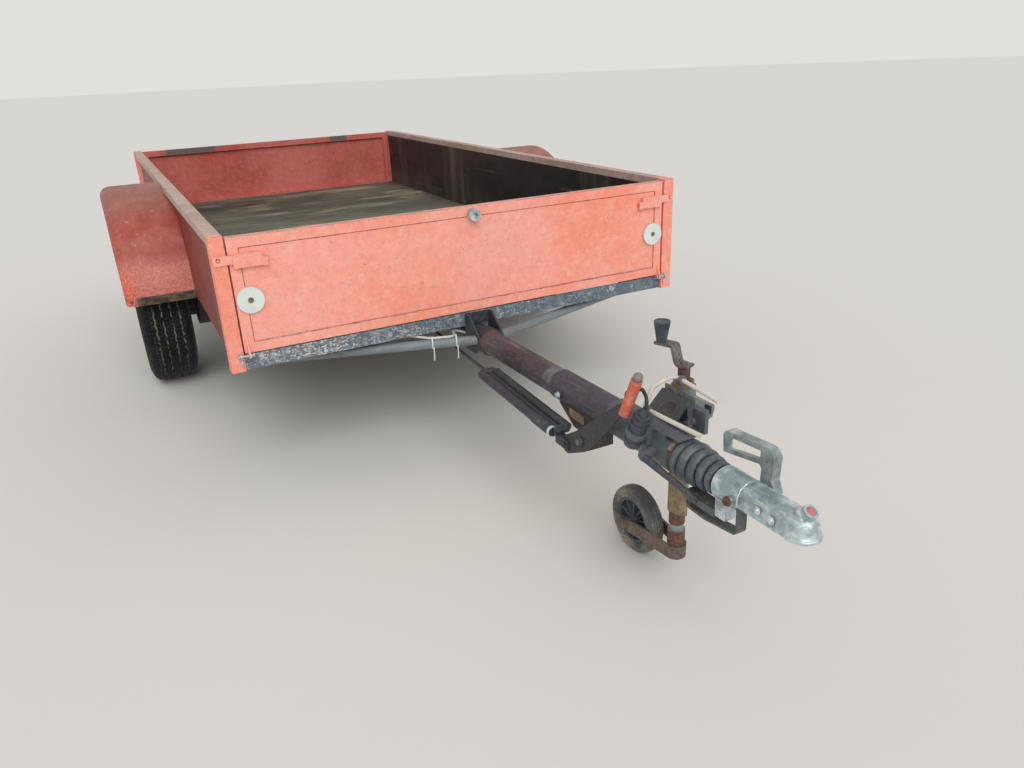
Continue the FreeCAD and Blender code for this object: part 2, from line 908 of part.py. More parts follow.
def button_body(recess):
    """The button's round housing, which leans forward on the dome, with a dished top."""
    lean = math.radians(button_tilt)
    axis = Vector(0, -math.sin(lean), math.cos(lean))
    foot = Vector(0, -button_ahead, device_height + button_foot)
    body = Part.makeCylinder(button_radius, button_height, foot, axis)
    rim_edge = max(body.Edges, key=lambda edge: edge.CenterOfMass.z)
    body = body.makeFillet(2.0, [rim_edge])
    if recess:
        dish = Part.makeCylinder(
            button_radius - 5.0, recess, foot + axis * (button_height - recess), axis
        )
        body = body.cut(dish)
    return body


def coupling_button():
    return button_body(2.0)


def lever_outline(inset):
    """The release handle's outline from the side, drawn in by an inset."""
    x = coupling_half_width + seat_gap

    def place(ahead, height):
        return Vector(x, -ahead, device_height + height)

    steps = [
        (1119.0, 76.0), (1124.0, 90.0, 1140.0, 94.0), (1236.0, 101.0),
        (1256.0, 93.0, 1260.0, 72.0), (1259.0, 36.0), (1271.0, 10.0), (1262.0, -2.0),
        (1229.0, 5.0), (1229.0, 44.0), (1227.0, 55.0, 1215.0, 57.0), (1134.0, 44.0),
    ]
    face = profile((1122.0, 42.0), steps, place)
    return face if not inset else face.makeOffset2D(-inset)


def coupling_lever():
    """A pressed handle: a side web with a long opening and holes, and a flange all round it."""
    body = lever_outline(0.0).extrude(Vector(lever_width, 0, 0))
    hollow = lever_outline(lever_wall).extrude(Vector(lever_width, 0, 0))
    hollow.translate(Vector(lever_wall, 0, 0))
    x = coupling_half_width
    through = 2 * lever_wall
    opening = plate(
        [
            (x, -1138.0, device_height + 56.0), (x, -1144.0, device_height + 82.0),
            (x, -1224.0, device_height + 88.0), (x, -1224.0, device_height + 68.0),
        ],
        (through, 0, 0),
    )
    body = body.cut(hollow).cut(opening)
    holes = [
        # height above the pivot, radius
        (0.0, lever_pivot_radius + seat_gap),
        (30.0, 4.0),
        (54.0, 3.0),
    ]
    for height, radius in holes:
        z = device_height + lever_pivot_height + height
        body = body.cut(rod((x, -lever_pivot_ahead, z), (x + through, -lever_pivot_ahead, z), radius))
    return body


# Bail handle over the housing

def bail_near_height(ahead):
    """The height of the bail's near arm at a distance ahead."""
    return device_height + 92.0 + (ahead - jockey_ahead) * 0.055


def bail_far_height(ahead):
    """The height of the bail's far arm at a distance ahead."""
    return device_height + 148.0 - (ahead - jockey_ahead) * 0.071


def bail_handle():
    """A bent rod: its near arm lies low, its rear cross and far arm pass over the clamp."""
    rear = jockey_ahead + 8.0
    cross = device_height + 143.0
    points = [
        (bail_near_x, -1138.0, bail_near_height(1138.0)),
        (bail_near_x, -rear, bail_near_height(rear)),
        (bail_near_x + 24.0, -rear, cross - 6.0),
        (0.0, -rear - 9.0, cross + 8.0),
        (bail_far_x, -rear + 4.0, bail_far_height(rear - 4.0)),
        (bail_far_x, -1084.0, bail_far_height(1084.0)),
    ]
    return bent_rod(points, bail_radius, bail_bend)


# Hand brake

def handbrake_lever():
    """A flat bar from the heel, where it pulls the linkage, past the pivot to the grip."""
    x0 = -brake_x - brake_bar_thickness / 2
    x1 = x0 + brake_bar_thickness
    places = [
        # ahead, height, radius
        (brake_heel_ahead, brake_heel_height, brake_heel_radius),
        (brake_pivot_ahead, brake_pivot_height, brake_heel_radius + 4.0),
        (brake_tip_ahead, brake_tip_height, brake_tip_radius),
    ]
    discs = [rod((x0, -ahead, z), (x1, -ahead, z), radius) for ahead, z, radius in places]
    spans = []
    for (a0, z0, r0), (a1, z1, r1) in zip(places, places[1:]):
        slope = math.atan2(z1 - z0, a0 - a1)
        ny, nz = -math.sin(slope), math.cos(slope)
        spans.append(plate(
            [
                (x0, -a0 + ny * r0, z0 + nz * r0), (x0, -a1 + ny * r1, z1 + nz * r1),
                (x0, -a1 - ny * r1, z1 - nz * r1), (x0, -a0 - ny * r0, z0 - nz * r0),
            ],
            (brake_bar_thickness, 0, 0),
        ))
    return join(discs + spans)


def grip_foot():
    return Vector(-brake_x, -brake_tip_ahead - 12.0, brake_tip_height - 6.0)


def grip_axis():
    lean = math.radians(grip_lean)
    return Vector(0, -math.sin(lean), math.cos(lean))


def handbrake_grip():
    """The round handle on the bar's tip, leaning forward, with the release knob on top."""
    foot, axis = grip_foot(), grip_axis()
    handle = Part.makeCylinder(grip_radius, grip_length, foot, axis)
    neck = Part.makeCylinder(grip_radius - 5.0, 6.0, foot + axis * grip_length, axis)
    knob = Part.makeSphere(grip_radius - 2.0, foot + axis * (grip_length + 9.0))
    return join([handle, neck, knob]).cut(handbrake_lever())


def handbrake_bracket():
    """A cheek from the drawbar's sleeve down and out to the lever, with its pivot bolt."""
    x_out = brake_x - brake_bar_thickness / 2 - seat_gap
    y, z = -brake_pivot_ahead, brake_pivot_height
    arm = block((-x_out, -10.0), (y - 22.0, y + 30.0), (z - 20.0, z + 22.0))
    side = plate(
        [
            (-36.0, y - 22.0, z - 20.0), (-36.0, y + 120.0, z - 24.0), (-36.0, y + 190.0, z + 20.0),
            (-36.0, y + 190.0, drawbar_height), (-36.0, y - 22.0, drawbar_height),
        ],
        (bracket_plate, 0, 0),
    )
    nut_z = on_drawbar(nut_ahead)[2]
    nut = rod((-sleeve_radius - 8.0, -nut_ahead, nut_z), (0, -nut_ahead, nut_z), 9.0)
    seat = rod(on_drawbar(0), on_drawbar(housing_start + 20.0), sleeve_radius + seat_gap)
    barrel = rod(on_device(housing_start, 0), on_device(housing_end, 0), housing_radius + seat_gap)
    bolt_x = brake_x + brake_bar_thickness / 2
    head = rod((-bolt_x - seat_gap, y, z), (-bolt_x - 9.0, y, z), 10.0)
    return group([join([arm, side]).cut(seat).cut(barrel), nut.cut(seat), head])


def linkage_point(x, ahead, drop):
    """A point of the brake linkage's sloping plane."""
    share = (ahead - linkage_rear) / (linkage_front - linkage_rear)
    height = linkage_rear_height + (linkage_front_height - linkage_rear_height) * share
    return (-x, -ahead, height - drop)


def brake_linkage():
    """Two spring tubes joined behind and in front, a guide rod, and the pull rod to the axle."""
    rear, front = linkage_rear, linkage_front
    tubes = [
        rod(linkage_point(x, rear, 0.0), linkage_point(x, front, 0.0), linkage_radius)
        for x in (linkage_outer_x, linkage_inner_x)
    ]
    bow_height = linkage_point(0.0, rear, 0.0)[2]
    ends = [
        bent_rod(
            [
                (-linkage_outer_x, -rear - 20.0, bow_height), (-linkage_outer_x, -rear + 18.0, bow_height),
                (-linkage_inner_x, -rear + 18.0, bow_height), (-linkage_inner_x, -rear - 20.0, bow_height),
            ],
            linkage_radius - 2.0, 16.0,
        ),
        rod(linkage_point(linkage_outer_x, front, 0.0), linkage_point(linkage_inner_x, front, 0.0),
            linkage_radius),
    ]
    guide = rod(
        linkage_point(guide_rod_x, rear - 20.0, 0.0), linkage_point(guide_rod_x, front, 6.0),
        guide_rod_radius,
    )
    middle = (linkage_outer_x + linkage_inner_x) / 2
    beam_front = torsion_beam_behind + cross_member_width / 2 - torsion_beam_size / 2 - seat_gap
    pull = rod(
        (-middle, beam_front, axle_top - torsion_beam_size / 2), (-middle, -rear + 10.0, bow_height),
        pull_rod_radius,
    )
    cheek_gap = brake_bar_thickness / 2 + seat_gap
    cheek_x = [(-brake_x + cheek_gap, -brake_x + cheek_gap + 6.0),
               (-brake_x - cheek_gap - 6.0, -brake_x - cheek_gap)]
    cheeks = [
        block(x, (-brake_heel_ahead - 12.0, -front), (brake_heel_height - 12.0, brake_heel_height + 14.0))
        for x in cheek_x
    ]
    heel = (-brake_heel_ahead, brake_heel_height)
    pins = [
        rod((cheek_x[0][1], *heel), (cheek_x[0][1] + 4.0, *heel), 7.0),
        rod((cheek_x[1][0], *heel), (cheek_x[1][0] - 6.0, *heel), 7.0),
    ]
    return join(tubes + ends + [guide, pull] + cheeks + pins)


# Lead and plug

def plug_axis():
    lean = math.radians(plug_tilt)
    return Vector(0, -math.sin(lean), math.cos(lean))


def plug_foot():
    return Vector(-plug_x, -plug_ahead, plug_low)


def plug():
    """A round connector that leans forward: three ringed bands, and a neck for the lead."""
    foot, axis = plug_foot(), plug_axis()
    shell = Part.makeCone(plug_radius - 1.5, plug_radius - 3.0, plug_length, foot, axis)
    rings = [
        # distance from the foot, length
        (10.0, 5.0),
        (plug_clip_start, plug_clip_height),
        (64.0, 5.0),
        (80.0, 5.0),
    ]
    rings = [
        Part.makeCylinder(plug_radius, length, foot + axis * along, axis) for along, length in rings
    ]
    neck = Part.makeCone(12.0, lead_radius + 3.0, 18.0, foot + axis * plug_length, axis)
    return join([shell, neck] + rings)


def plug_clip():
    """The open ring on the housing in which the plug is parked."""
    foot, axis = plug_foot(), plug_axis()
    ring = Part.makeCylinder(
        plug_radius + 4.0, plug_clip_height, foot + axis * plug_clip_start, axis
    )
    centre = foot + axis * (plug_clip_start + plug_clip_height / 2)
    arm = block(
        (centre.x, -shaft_radius), (centre.y - 7.0, centre.y + 7.0), (centre.z - 8.0, centre.z + 8.0)
    )
    return join([ring, arm])


def plug_space():
    return Part.makeCylinder(plug_radius + seat_gap, plug_length, plug_foot(), plug_axis())


def lead_points():
    """The lead's route: plug, drawbar tube, left brace, front beam, then the rail to the rear lamp."""
    neck = plug_foot() + plug_axis() * (plug_length + 18.0)
    rise = neck + plug_axis() * 22.0
    crest = rise + Vector(10.0, 35.0, 14.0)
    inside = on_drawbar(815.0)
    outlet = on_drawbar(-22.0)
    on_brace = brace_height + brace_radius + seat_gap + lead_radius
    on_rail = chassis_bottom - seat_gap - lead_radius
    first_x, last_x = 105.0, 178.0
    shelf_y = beam_setback + beam_depth - 7.0
    turn_x = brace_end_x - 50.0
    rail_x = wall_outer_x - rail_flange / 2
    lamp_y = box_length - lamp_setback - lamp_depth / 2
    lamp_z = chassis_bottom - lamp_drop - lamp_height / 2
    return [
        tuple(neck), tuple(rise), tuple(crest), (-30.0, -862.0, device_height + 96.0),
        (-8.0, inside[1], inside[2] - 2.0), (-8.0, outlet[1], outlet[2] - 2.0),
        (-2 * drawbar_radius, outlet[1] + 28.0, on_brace - 8.0),
        (-first_x, -brace_start_ahead + (first_x - brace_start_x) * brace_slope, on_brace),
        (-last_x, -brace_start_ahead + (last_x - brace_start_x) * brace_slope, on_brace),
        (-last_x - 54.0, shelf_y, on_rail), (-turn_x, shelf_y, on_rail),
        (-turn_x, brace_end_behind + 65.0, on_rail), (-rail_x, brace_end_behind + 140.0, on_rail),
        (-rail_x, lamp_y, on_rail),
        (-rail_x, lamp_y, lamp_z), (-wall_inner_x + lamp_inset, lamp_y, lamp_z),
    ]


def lead_channel():
    """The lead's passage through the housing and the tube, a little wider than the lead."""
    points = lead_points()[2:8]
    return bent_rod(points, lead_radius + lead_hole_gap, lead_bend)


def lead():
    """One lead from the plug to the left lamp, and one across to the right lamp."""
    main_run = bent_rod(lead_points(), lead_radius, lead_bend)
    lamp_x = wall_inner_x - lamp_inset - lamp_width
    height = chassis_bottom - lamp_drop - lamp_height / 2
    y = box_length - lamp_setback - lamp_depth / 2
    cross_run = rod((-lamp_x, y, height), (lamp_x, y, height), lead_radius)
    return group([main_run, cross_run])


# Guide bar and hoop under the coupling

def bar_line():
    """Both ends of the guide bar's centre line."""
    return (-80.0, -1000.0, device_height + 3.0), (-43.5, -1136.0, device_height - 47.0)


def safety_bar():
    """A tapered bar from the housing's underside forward to the hoop."""
    start, end = bar_line()
    return taper(start, end, 9.0, 6.0).cut(overrun_housing())


def coupling_hoop():
    """A flat steel strap that hangs in a bow under the coupling, and the buffer it is fixed to."""
    x0, x1 = -36.0, -11.0
    z = device_height
    strap = bent_strap(
        [
            (x0, -1086.0, z - 60.0), (x0, -1092.0, z - 86.0), (x0, -1150.0, z - 88.0),
            (x0, -1246.0, z - 75.0), (x0, -1244.0, z - coupling_skirt - seat_gap),
        ],
        14.0, 5.0, (x1 - x0, 0, 0),
    )
    buffer = block((x0, 0.0), (-foot_ahead + seat_gap, -1082.0), (z - 67.0, z - 50.0))
    return join([strap, buffer])


# Jockey wheel

def jockey_y():
    return -jockey_ahead


def jockey_clamp():
    """The casting on the housing's far side that grips the outer tube, with a square pocket."""
    y = jockey_y()
    z = device_height
    body = plate(
        [
            (housing_radius + seat_gap, -clamp_rear, z + 118.0),
            (jockey_x + 31.0, -clamp_rear, z + 88.0),
            (jockey_x + 31.0, -clamp_rear, z + 76.0),
            (jockey_x + 26.0, -clamp_rear, z + 60.0),
            (jockey_x - 12.0, -clamp_rear, z + 44.0),
            (housing_radius + seat_gap, -clamp_rear, z + 44.0),
        ],
        (0, clamp_rear - clamp_front, 0),
    )
    collar = rod(
        (jockey_x, y, z + 60.0), (jockey_x, y, z + 118.0), jockey_tube_radius + 5.0
    )
    bore = rod((jockey_x, y, z), (jockey_x, y, z + 150.0), jockey_tube_radius + seat_gap)
    pocket = plate(
        [
            (jockey_x + 2.0, -clamp_front, z + 76.0), (jockey_x + 1.0, -clamp_front, z + 98.0),
            (jockey_x + 22.0, -clamp_front, z + 87.0), (jockey_x + 23.0, -clamp_front, z + 66.0),
        ],
        (0, 30.0, 0),
    )
    slit = block((jockey_x, jockey_x + 60.0), (y - 1.5, y + 1.5), (z + 40.0, z + 130.0))
    body = join([body, collar]).cut(bore).cut(pocket).cut(slit)
    return body.cut(housing_body(seat_gap))


def jockey_tube():
    """The outer tube, cut off slantwise at its foot."""
    y = jockey_y()
    low = jockey_tube_bottom
    tube = pipe((jockey_x, y, low), (jockey_x, y, jockey_tube_top), jockey_tube_radius, jockey_tube_wall)
    r = jockey_tube_radius + 1.0
    wedge = plate(
        [
            (jockey_x - r, y - r, low - 1.0), (jockey_x + r, y - r, low - 1.0),
            (jockey_x - r, y - r, low + jockey_tube_slant),
        ],
        (0, 2 * r, 0),
    )
    return tube.cut(wedge)


def crank_way():
    """The sideways direction in which the crank arm points."""
    turn = math.radians(crank_turn)
    return Vector(-math.sin(turn), math.cos(turn), 0)


def jockey_crank():
    """Stem on the tube's top, and the strap that rises from it and bends over to the knob."""
    y = jockey_y()
    top = jockey_tube_top
    inner = jockey_tube_radius - jockey_tube_wall
    plug_end = rod((jockey_x, y, top - 14.0), (jockey_x, y, top), inner)
    stem = rod((jockey_x, y, top), (jockey_x, y, top + stem_height), stem_radius)
    nut = rod((jockey_x, y, top + stem_height), (jockey_x, y, top + stem_height + 5.0), 8.0)
    way = crank_way()
    across = Vector(way.y, -way.x, 0) * crank_width
    centre = Vector(jockey_x, y, top + stem_height) - across * 0.5
    route = [
        centre + way * -16.0,
        centre + way * 12.0,
        centre + way * 24.0 + Z * crank_rise,
        centre + way * crank_reach + Z * crank_rise,
    ]
    strap = bent_strap([tuple(p) for p in route], 9.0, crank_thickness, tuple(across))
    return join([plug_end, stem, nut, strap])


def crank_knob():
    """A ribbed cone that widens upwards, standing on the crank's end."""
    base = Vector(jockey_x, jockey_y(), jockey_tube_top + stem_height + crank_rise)
    way = crank_way()
    base = base + way * (crank_reach - 14.0) - Vector(way.y, -way.x, 0) * crank_knob_offset + Z * seat_gap
    body = Part.makeCone(crank_knob_radius * 0.55, crank_knob_radius, crank_knob_height, base, Z)
    rim = Part.makeCylinder(crank_knob_radius, 4.0, base + Z * crank_knob_height, Z)
    return join([body, rim])


def jockey_leg():
    """The inner tube with its bright band, its wider foot, and the castor's pivot below."""
    y = jockey_y()
    foot = jockey_wheel_radius + fork_height / 2 + seat_gap
    sleeve_top = foot + 40.0
    band_top = sleeve_top + 18.0
    top = jockey_tube_bottom + jockey_leg_overlap
    pieces = [
        # low, high, radius
        (foot - fork_height, foot, fork_pivot_radius),
        (foot, sleeve_top, jockey_sleeve_radius),
        (sleeve_top, band_top, jockey_band_radius),
        (band_top, top, jockey_leg_radius),
    ]
    solid = join([rod((jockey_x, y, low), (jockey_x, y, high), r) for low, high, r in pieces])
    return solid.cut(rod((jockey_x, y, sleeve_top), (jockey_x, y, top), jockey_band_radius - 3.0))


def jockey_fork():
    """A strap round the foot of the leg whose two arms spread back to the wheel's sides."""
    y = jockey_y()
    z0 = jockey_wheel_radius - fork_height / 2
    length = jockey_trail + 18.0
    reach = math.hypot(fork_end_gap, length)
    angle = math.atan2(length, fork_end_gap) - math.acos(fork_bow_radius / reach)
    tangent = (fork_bow_radius * math.cos(angle), fork_bow_radius * math.sin(angle))

    def place(x, along):
        return Vector(jockey_x + x, y + along, z0)

    edges = [
        Part.LineSegment(place(fork_end_gap, length), place(*tangent)).toShape(),
        Part.Arc(place(*tangent), place(0, -fork_bow_radius), place(-tangent[0], tangent[1])).toShape(),
        Part.LineSegment(place(-tangent[0], tangent[1]), place(-fork_end_gap, length)).toShape(),
    ]
    face = Part.Wire(edges).makeOffset2D(fork_thickness, 0, True, True, False)
    if face.BoundBox.XLength < 2 * fork_end_gap + fork_thickness:
        face = Part.Wire(edges).makeOffset2D(-fork_thickness, 0, True, True, False)
    strap = face.extrude(Vector(0, 0, fork_height))
    collar = pipe(
        (jockey_x, y, z0), (jockey_x, y, z0 + fork_height), fork_bow_radius + 1.0,
        fork_bow_radius + 1.0 - fork_pivot_radius - seat_gap,
    )
    hub = (y + jockey_trail, jockey_wheel_radius)
    end = fork_end_gap + fork_thickness
    axle = rod((jockey_x - end, *hub), (jockey_x + end, *hub), 6.0)
    caps = [
        rod((jockey_x + side * (end - 3.0), *hub), (jockey_x + side * (end + 7.0), *hub), 16.0)
        for side in (-1, 1)
    ]
    return join([strap, collar, axle] + caps)


def on_jockey_wheel(x, radius):
    """A point above the jockey wheel's axle."""
    return Vector(jockey_x + x, jockey_y() + jockey_trail, jockey_wheel_radius + radius)


def jockey_tyre():
    """A solid rubber tyre with a round crown."""
    half = jockey_wheel_width / 2
    r = jockey_wheel_radius
    inner = jockey_rim_radius
    steps = [
        (-half, inner + 6.0), (-half, r - 14.0),
        (-half + 4.0, r - 4.0, -half + 14.0, r), (half - 14.0, r),
        (half - 4.0, r - 4.0, half, r - 14.0), (half, inner + 6.0), (half - 6.0, inner),
    ]
    face = profile((-half + 6.0, inner), steps, on_jockey_wheel)
    return face.revolve(on_jockey_wheel(0, 0), X, 360.0)


def jockey_rim():
    """A moulded rim: a ring and a hub joined by thin spokes."""
    half = jockey_wheel_width / 2 - 7.0
    outer = jockey_rim_radius - 0.1
    hub_half = fork_end_gap - 8.0
    ring = pipe(on_jockey_wheel(-half, 0), on_jockey_wheel(half, 0), outer, 7.0)
    hub = rod(on_jockey_wheel(-hub_half, 0), on_jockey_wheel(hub_half, 0), 15.0)
    spokes = []
    for number in range(jockey_spokes):
        low = on_jockey_wheel(-half + 3.0, 10.0)
        spoke = Part.makeBox(2 * half - 6.0, 5.0, outer - 14.0, low - Y * 2.5)
        spoke.rotate(on_jockey_wheel(0, 0), X, 360.0 * number / jockey_spokes)
        spokes.append(spoke)
    bore = rod(on_jockey_wheel(-hub_half - 5.0, 0), on_jockey_wheel(hub_half + 5.0, 0), 6.3)
    return join([ring, hub] + spokes).cut(bore)


# Axle and wheels

def axle_beam():
    half = torsion_beam_size / 2
    x = axle_half
    y = torsion_beam_behind + cross_member_width / 2
    return block((-x, x), (y - half, y + half), (axle_top - torsion_beam_size, axle_top))


def swing_arms():
    """Trailing arms with the stub axles that carry the wheels."""
    y0 = torsion_beam_behind + cross_member_width / 2
    z0 = axle_top - torsion_beam_size / 2
    big_radius = torsion_beam_size / 2 - 1.0
    x0, x1 = axle_half + seat_gap, axle_half + arm_width
    big = rod((x0, y0, z0), (x1, y0, z0), big_radius)
    small = rod((x0, axle_behind, tyre_radius), (x1, axle_behind, tyre_radius), big_radius)
    span = plate(
        [(x0, y0, z0 + big_radius), (x0, axle_behind, tyre_radius + big_radius * 0.9),
         (x0, axle_behind, tyre_radius - big_radius * 0.9), (x0, y0, z0 - big_radius)],
        (x1 - x0, 0, 0),
    )
    stub_end = (tyre_centre_x + 10.0, axle_behind, tyre_radius)
    stub = rod((x1, axle_behind, tyre_radius), stub_end, stub_radius)
    plate_end = (x1 + backplate_width, axle_behind, tyre_radius)
    backplate = rod((x1, axle_behind, tyre_radius), plate_end, drum_radius + 6.0)
    return both_sides(join([big, small, span, stub, backplate]))


def on_wheel(x, radius):
    """A point above the axle, sideways from the middle of the +X wheel."""
    return Vector(tyre_centre_x + x, axle_behind, tyre_radius + radius)


def wheel_hub():
    """Brake drum and hub, running on the stub axle, closed by a pressed cap."""
    drum_start = -tyre_width / 2 - arm_inset + arm_width + backplate_width + 1.0
    drum = rod(on_wheel(drum_start, 0), on_wheel(drum_start + drum_width, 0), drum_radius)
    hub = rod(on_wheel(drum_start + drum_width, 0), on_wheel(-1.0, 0), hub_radius)
    flange = rod(on_wheel(-1.0, 0), on_wheel(9.0, 0), 28.0)
    bore = rod(on_wheel(drum_start - 1.0, 0), on_wheel(60.0, 0), stub_radius + hub_running_gap)
    steps = [
        (34.0, 30.0), (41.0, 27.0, 43.0, 20.0), (43.0, 0.0),
        (38.0, 0.0), (38.0, 18.0), (36.0, 23.0, 32.0, 25.0), (9.0, 25.0),
    ]
    cap = profile((9.0, 30.0), steps, on_wheel).revolve(on_wheel(0, 0), X, 360.0)
    return join([join([drum, hub, flange]).cut(bore), cap])


def rim():
    """A pressed steel rim: the well and, inside it, the dished disc."""
    half = rim_width / 2
    r, t = rim_radius, rim_sheet
    well_steps = [
        (-half, r), (-half + 16.0, r - 4.0), (-20.0, r - 22.0), (10.0, r - 22.0),
        (half - 16.0, r - 4.0), (half, r), (half, r + 14.0), (half - t, r + 14.0),
        (half - t, r + t), (half - 18.0, r), (12.0, r - 17.0), (-22.0, r - 17.0),
        (-half + 18.0, r), (-half + t, r + t), (-half + t, r + 14.0),
    ]
    well = profile((-half, r + 14.0), well_steps, on_wheel).revolve(on_wheel(0, 0), X, 360.0)
    disc_steps = [
        (0.0, 90.0), (24.0, 117.0, 4.0, 146.0), (4.0, r - 21.0), (-1.0, r - 21.0),
        (-1.0, 145.0), (18.0, 117.0, -0.7, 93.0), (-0.7, 29.0),
    ]
    disc = profile((0.0, 29.0), disc_steps, on_wheel).revolve(on_wheel(0, 0), X, 360.0)
    return join([well, disc])


def tyre():
    """Round sidewalls between the beads and the shoulders, and a gently crowned tread."""
    half = tyre_width / 2
    r = tyre_radius
    inner = rim_radius + 14.3
    bead = rim_width / 2 - 4.5
    steps = [
        (-bead, inner), (-half, inner + 50.0, -half + 12.0, r - 20.0),
        (-half + 20.0, r - 7.0, -half + 40.0, r - 2.0), (0.0, r, half - 40.0, r - 2.0),
        (half - 20.0, r - 7.0, half - 12.0, r - 20.0), (half, inner + 50.0, bead, inner),
        (bead, inner - 9.0), (bead - 10.0, inner - 9.0),
        (half - 12.0, inner + 50.0, half - 30.0, r - 22.0), (-half + 30.0, r - 22.0),
        (-half + 12.0, inner + 50.0, -bead + 10.0, inner - 9.0),
    ]
    return profile((-bead, inner - 9.0), steps, on_wheel).revolve(on_wheel(0, 0), X, 360.0)


# Fenders

def fender():
    """A half-round shell with a rolled outer edge and a flange on the wall."""
    r, t, e = fender_radius, fender_wall, fender_edge_round
    x0 = wall_outer_x + seat_gap
    x1 = fender_half_width
    low = r - e - fender_skirt
    diagonal = math.sqrt(0.5)
    centre = Vector(0, axle_behind, fender_centre_height)

    def place(x, radius):
        return Vector(x, axle_behind, fender_centre_height + radius)

    steps = [
        (x1 - e, r), (x1 - e + e * diagonal, r - e + e * diagonal, x1, r - e), (x1, low), (x1 - t, low),
        (x1 - t, r - e), (x1 - e + (e - t) * diagonal, r - e + (e - t) * diagonal, x1 - e, r - t),
        (x0 + t, r - t), (x0 + t, r - fender_flange), (x0, r - fender_flange),
    ]
    shell = profile((x0, r), steps, place).revolve(centre, X, fender_sweep)
    shell.rotate(centre, X, -90.0 - (fender_sweep - 180.0) / 2)
    cap = block(
        (wall_inner_x, half_width + seat_gap), (0, box_length),
        (box_top - cap_height - seat_gap, box_top + 1.0),
    )
    return shell.cut(cap)


# Rear lamps

def rear_lamps():
    x1 = wall_inner_x - lamp_inset
    back = box_length - lamp_setback
    high = chassis_bottom - lamp_drop
    body = block((x1 - lamp_width, x1), (back - lamp_depth, back), (high - lamp_height, high))
    return both_sides(body)


def lamp_brackets():
    x1 = wall_inner_x - lamp_inset
    back = box_length - lamp_setback
    shelf = block(
        (x1 - lamp_width * 0.8, x1 - lamp_width * 0.2), (back - lamp_depth, back - 8.0),
        (chassis_bottom - lamp_drop, chassis_bottom),
    )
    return both_sides(shelf)

NODES = [
    ("floor_panel", floor_panel),
    ("corner_posts", corner_posts),
    ("side_wall_left", side_wall),
    ("side_wall_right", lambda: other_side(side_wall())),
    ("wall_caps", wall_caps),
    ("side_rails", side_rails),
    ("front_beam", end_beam),
    ("rear_beam", lambda: other_end(end_beam())),
    ("cross_members", cross_members),
    ("front_gate", gate),
    ("rear_gate", lambda: other_end(gate())),
    ("hinge_pins", hinge_pins),
    ("front_latches", lambda: both_sides(latch())),
    ("rear_latches", lambda: other_end(both_sides(latch()))),
    ("latch_studs", latch_studs),
    ("reflectors", reflectors),
    ("gate_knob", gate_knob),
    ("drawbar_tube", drawbar_tube),
    ("drawbar_bracket", drawbar_bracket),
    ("v_braces", v_braces),
    ("overrun_housing", overrun_housing),
    ("housing_cover", housing_cover),
    ("draw_shaft", draw_shaft),
    ("gaiter", gaiter),
    ("coupling_head", coupling_head),
    ("coupling_button", coupling_button),
    ("coupling_lever", coupling_lever),
    ("bail_handle", bail_handle),
    ("handbrake_lever", handbrake_lever),
    ("handbrake_grip", handbrake_grip),
    ("handbrake_bracket", handbrake_bracket),
    ("brake_linkage", brake_linkage),
    ("plug", plug),
    ("lead", lead),
    ("safety_bar", safety_bar),
    ("coupling_hoop", coupling_hoop),
    ("jockey_clamp", jockey_clamp),
    ("jockey_tube", jockey_tube),
    ("jockey_crank", jockey_crank),
    ("crank_knob", crank_knob),
    ("jockey_leg", jockey_leg),
    ("jockey_fork", jockey_fork),
    ("jockey_tyre", jockey_tyre),
    ("jockey_rim", jockey_rim),
    ("axle_beam", axle_beam),
    ("swing_arms", swing_arms),
    ("hub_left", wheel_hub),
    ("hub_right", lambda: other_side(wheel_hub())),
    ("rim_left", rim),
    ("rim_right", lambda: other_side(rim())),
    ("tyre_left", tyre),
    ("tyre_right", lambda: other_side(tyre())),
    ("fender_left", fender),
    ("fender_right", lambda: other_side(fender())),
    ("rear_lamps", rear_lamps),
    ("lamp_brackets", lamp_brackets),
]


def main():
    os.makedirs("parts", exist_ok=True)
    for name, make in NODES:
        save(name, make())


main()
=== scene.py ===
"""Looks of a single-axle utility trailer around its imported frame: painted steel box, ply floor, drawbar, overrun
coupling, hand brake and jockey wheel. Laid out as an add-on, and run as a script."""

import math

import bmesh
import bpy
from mathutils import Euler, Matrix, Vector


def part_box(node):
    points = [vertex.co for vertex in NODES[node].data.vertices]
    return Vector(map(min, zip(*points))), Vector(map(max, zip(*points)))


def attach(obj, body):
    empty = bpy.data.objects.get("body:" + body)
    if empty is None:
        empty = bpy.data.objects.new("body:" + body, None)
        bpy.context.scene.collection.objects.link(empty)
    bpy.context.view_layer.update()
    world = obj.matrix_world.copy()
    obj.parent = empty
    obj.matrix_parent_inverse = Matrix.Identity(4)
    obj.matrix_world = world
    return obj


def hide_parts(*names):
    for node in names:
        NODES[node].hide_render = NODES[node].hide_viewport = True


bl_info = {
    "name": "Utility trailer looks",
    "version": (1, 0, 0),
    "blender": (4, 5, 0),
    "location": "View3D > Sidebar > Trailer",
    "description": "Dresses a packed utility trailer with weathered finishes and small fittings",
    "category": "Object",
}

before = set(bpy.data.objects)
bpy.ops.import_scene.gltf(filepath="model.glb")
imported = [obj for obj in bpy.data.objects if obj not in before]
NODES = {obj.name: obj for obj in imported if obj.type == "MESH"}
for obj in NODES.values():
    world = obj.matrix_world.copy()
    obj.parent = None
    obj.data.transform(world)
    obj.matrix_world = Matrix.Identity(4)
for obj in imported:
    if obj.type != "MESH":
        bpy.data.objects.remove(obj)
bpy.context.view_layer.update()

# In metres: the front of the load box, and half the track of the road wheels.
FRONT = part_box("corner_posts")[0].y
HALF_TRACK = 0.875

# The camera of the photograph: millimetres, metres and degrees.
CAMERA_LENS, CAMERA_SENSOR = 27.41, 36
CAMERA_AT = (-1.0099, FRONT - 2.2113, 1.2334)
CAMERA_TURN = (67.231, 2.277, -27.859)

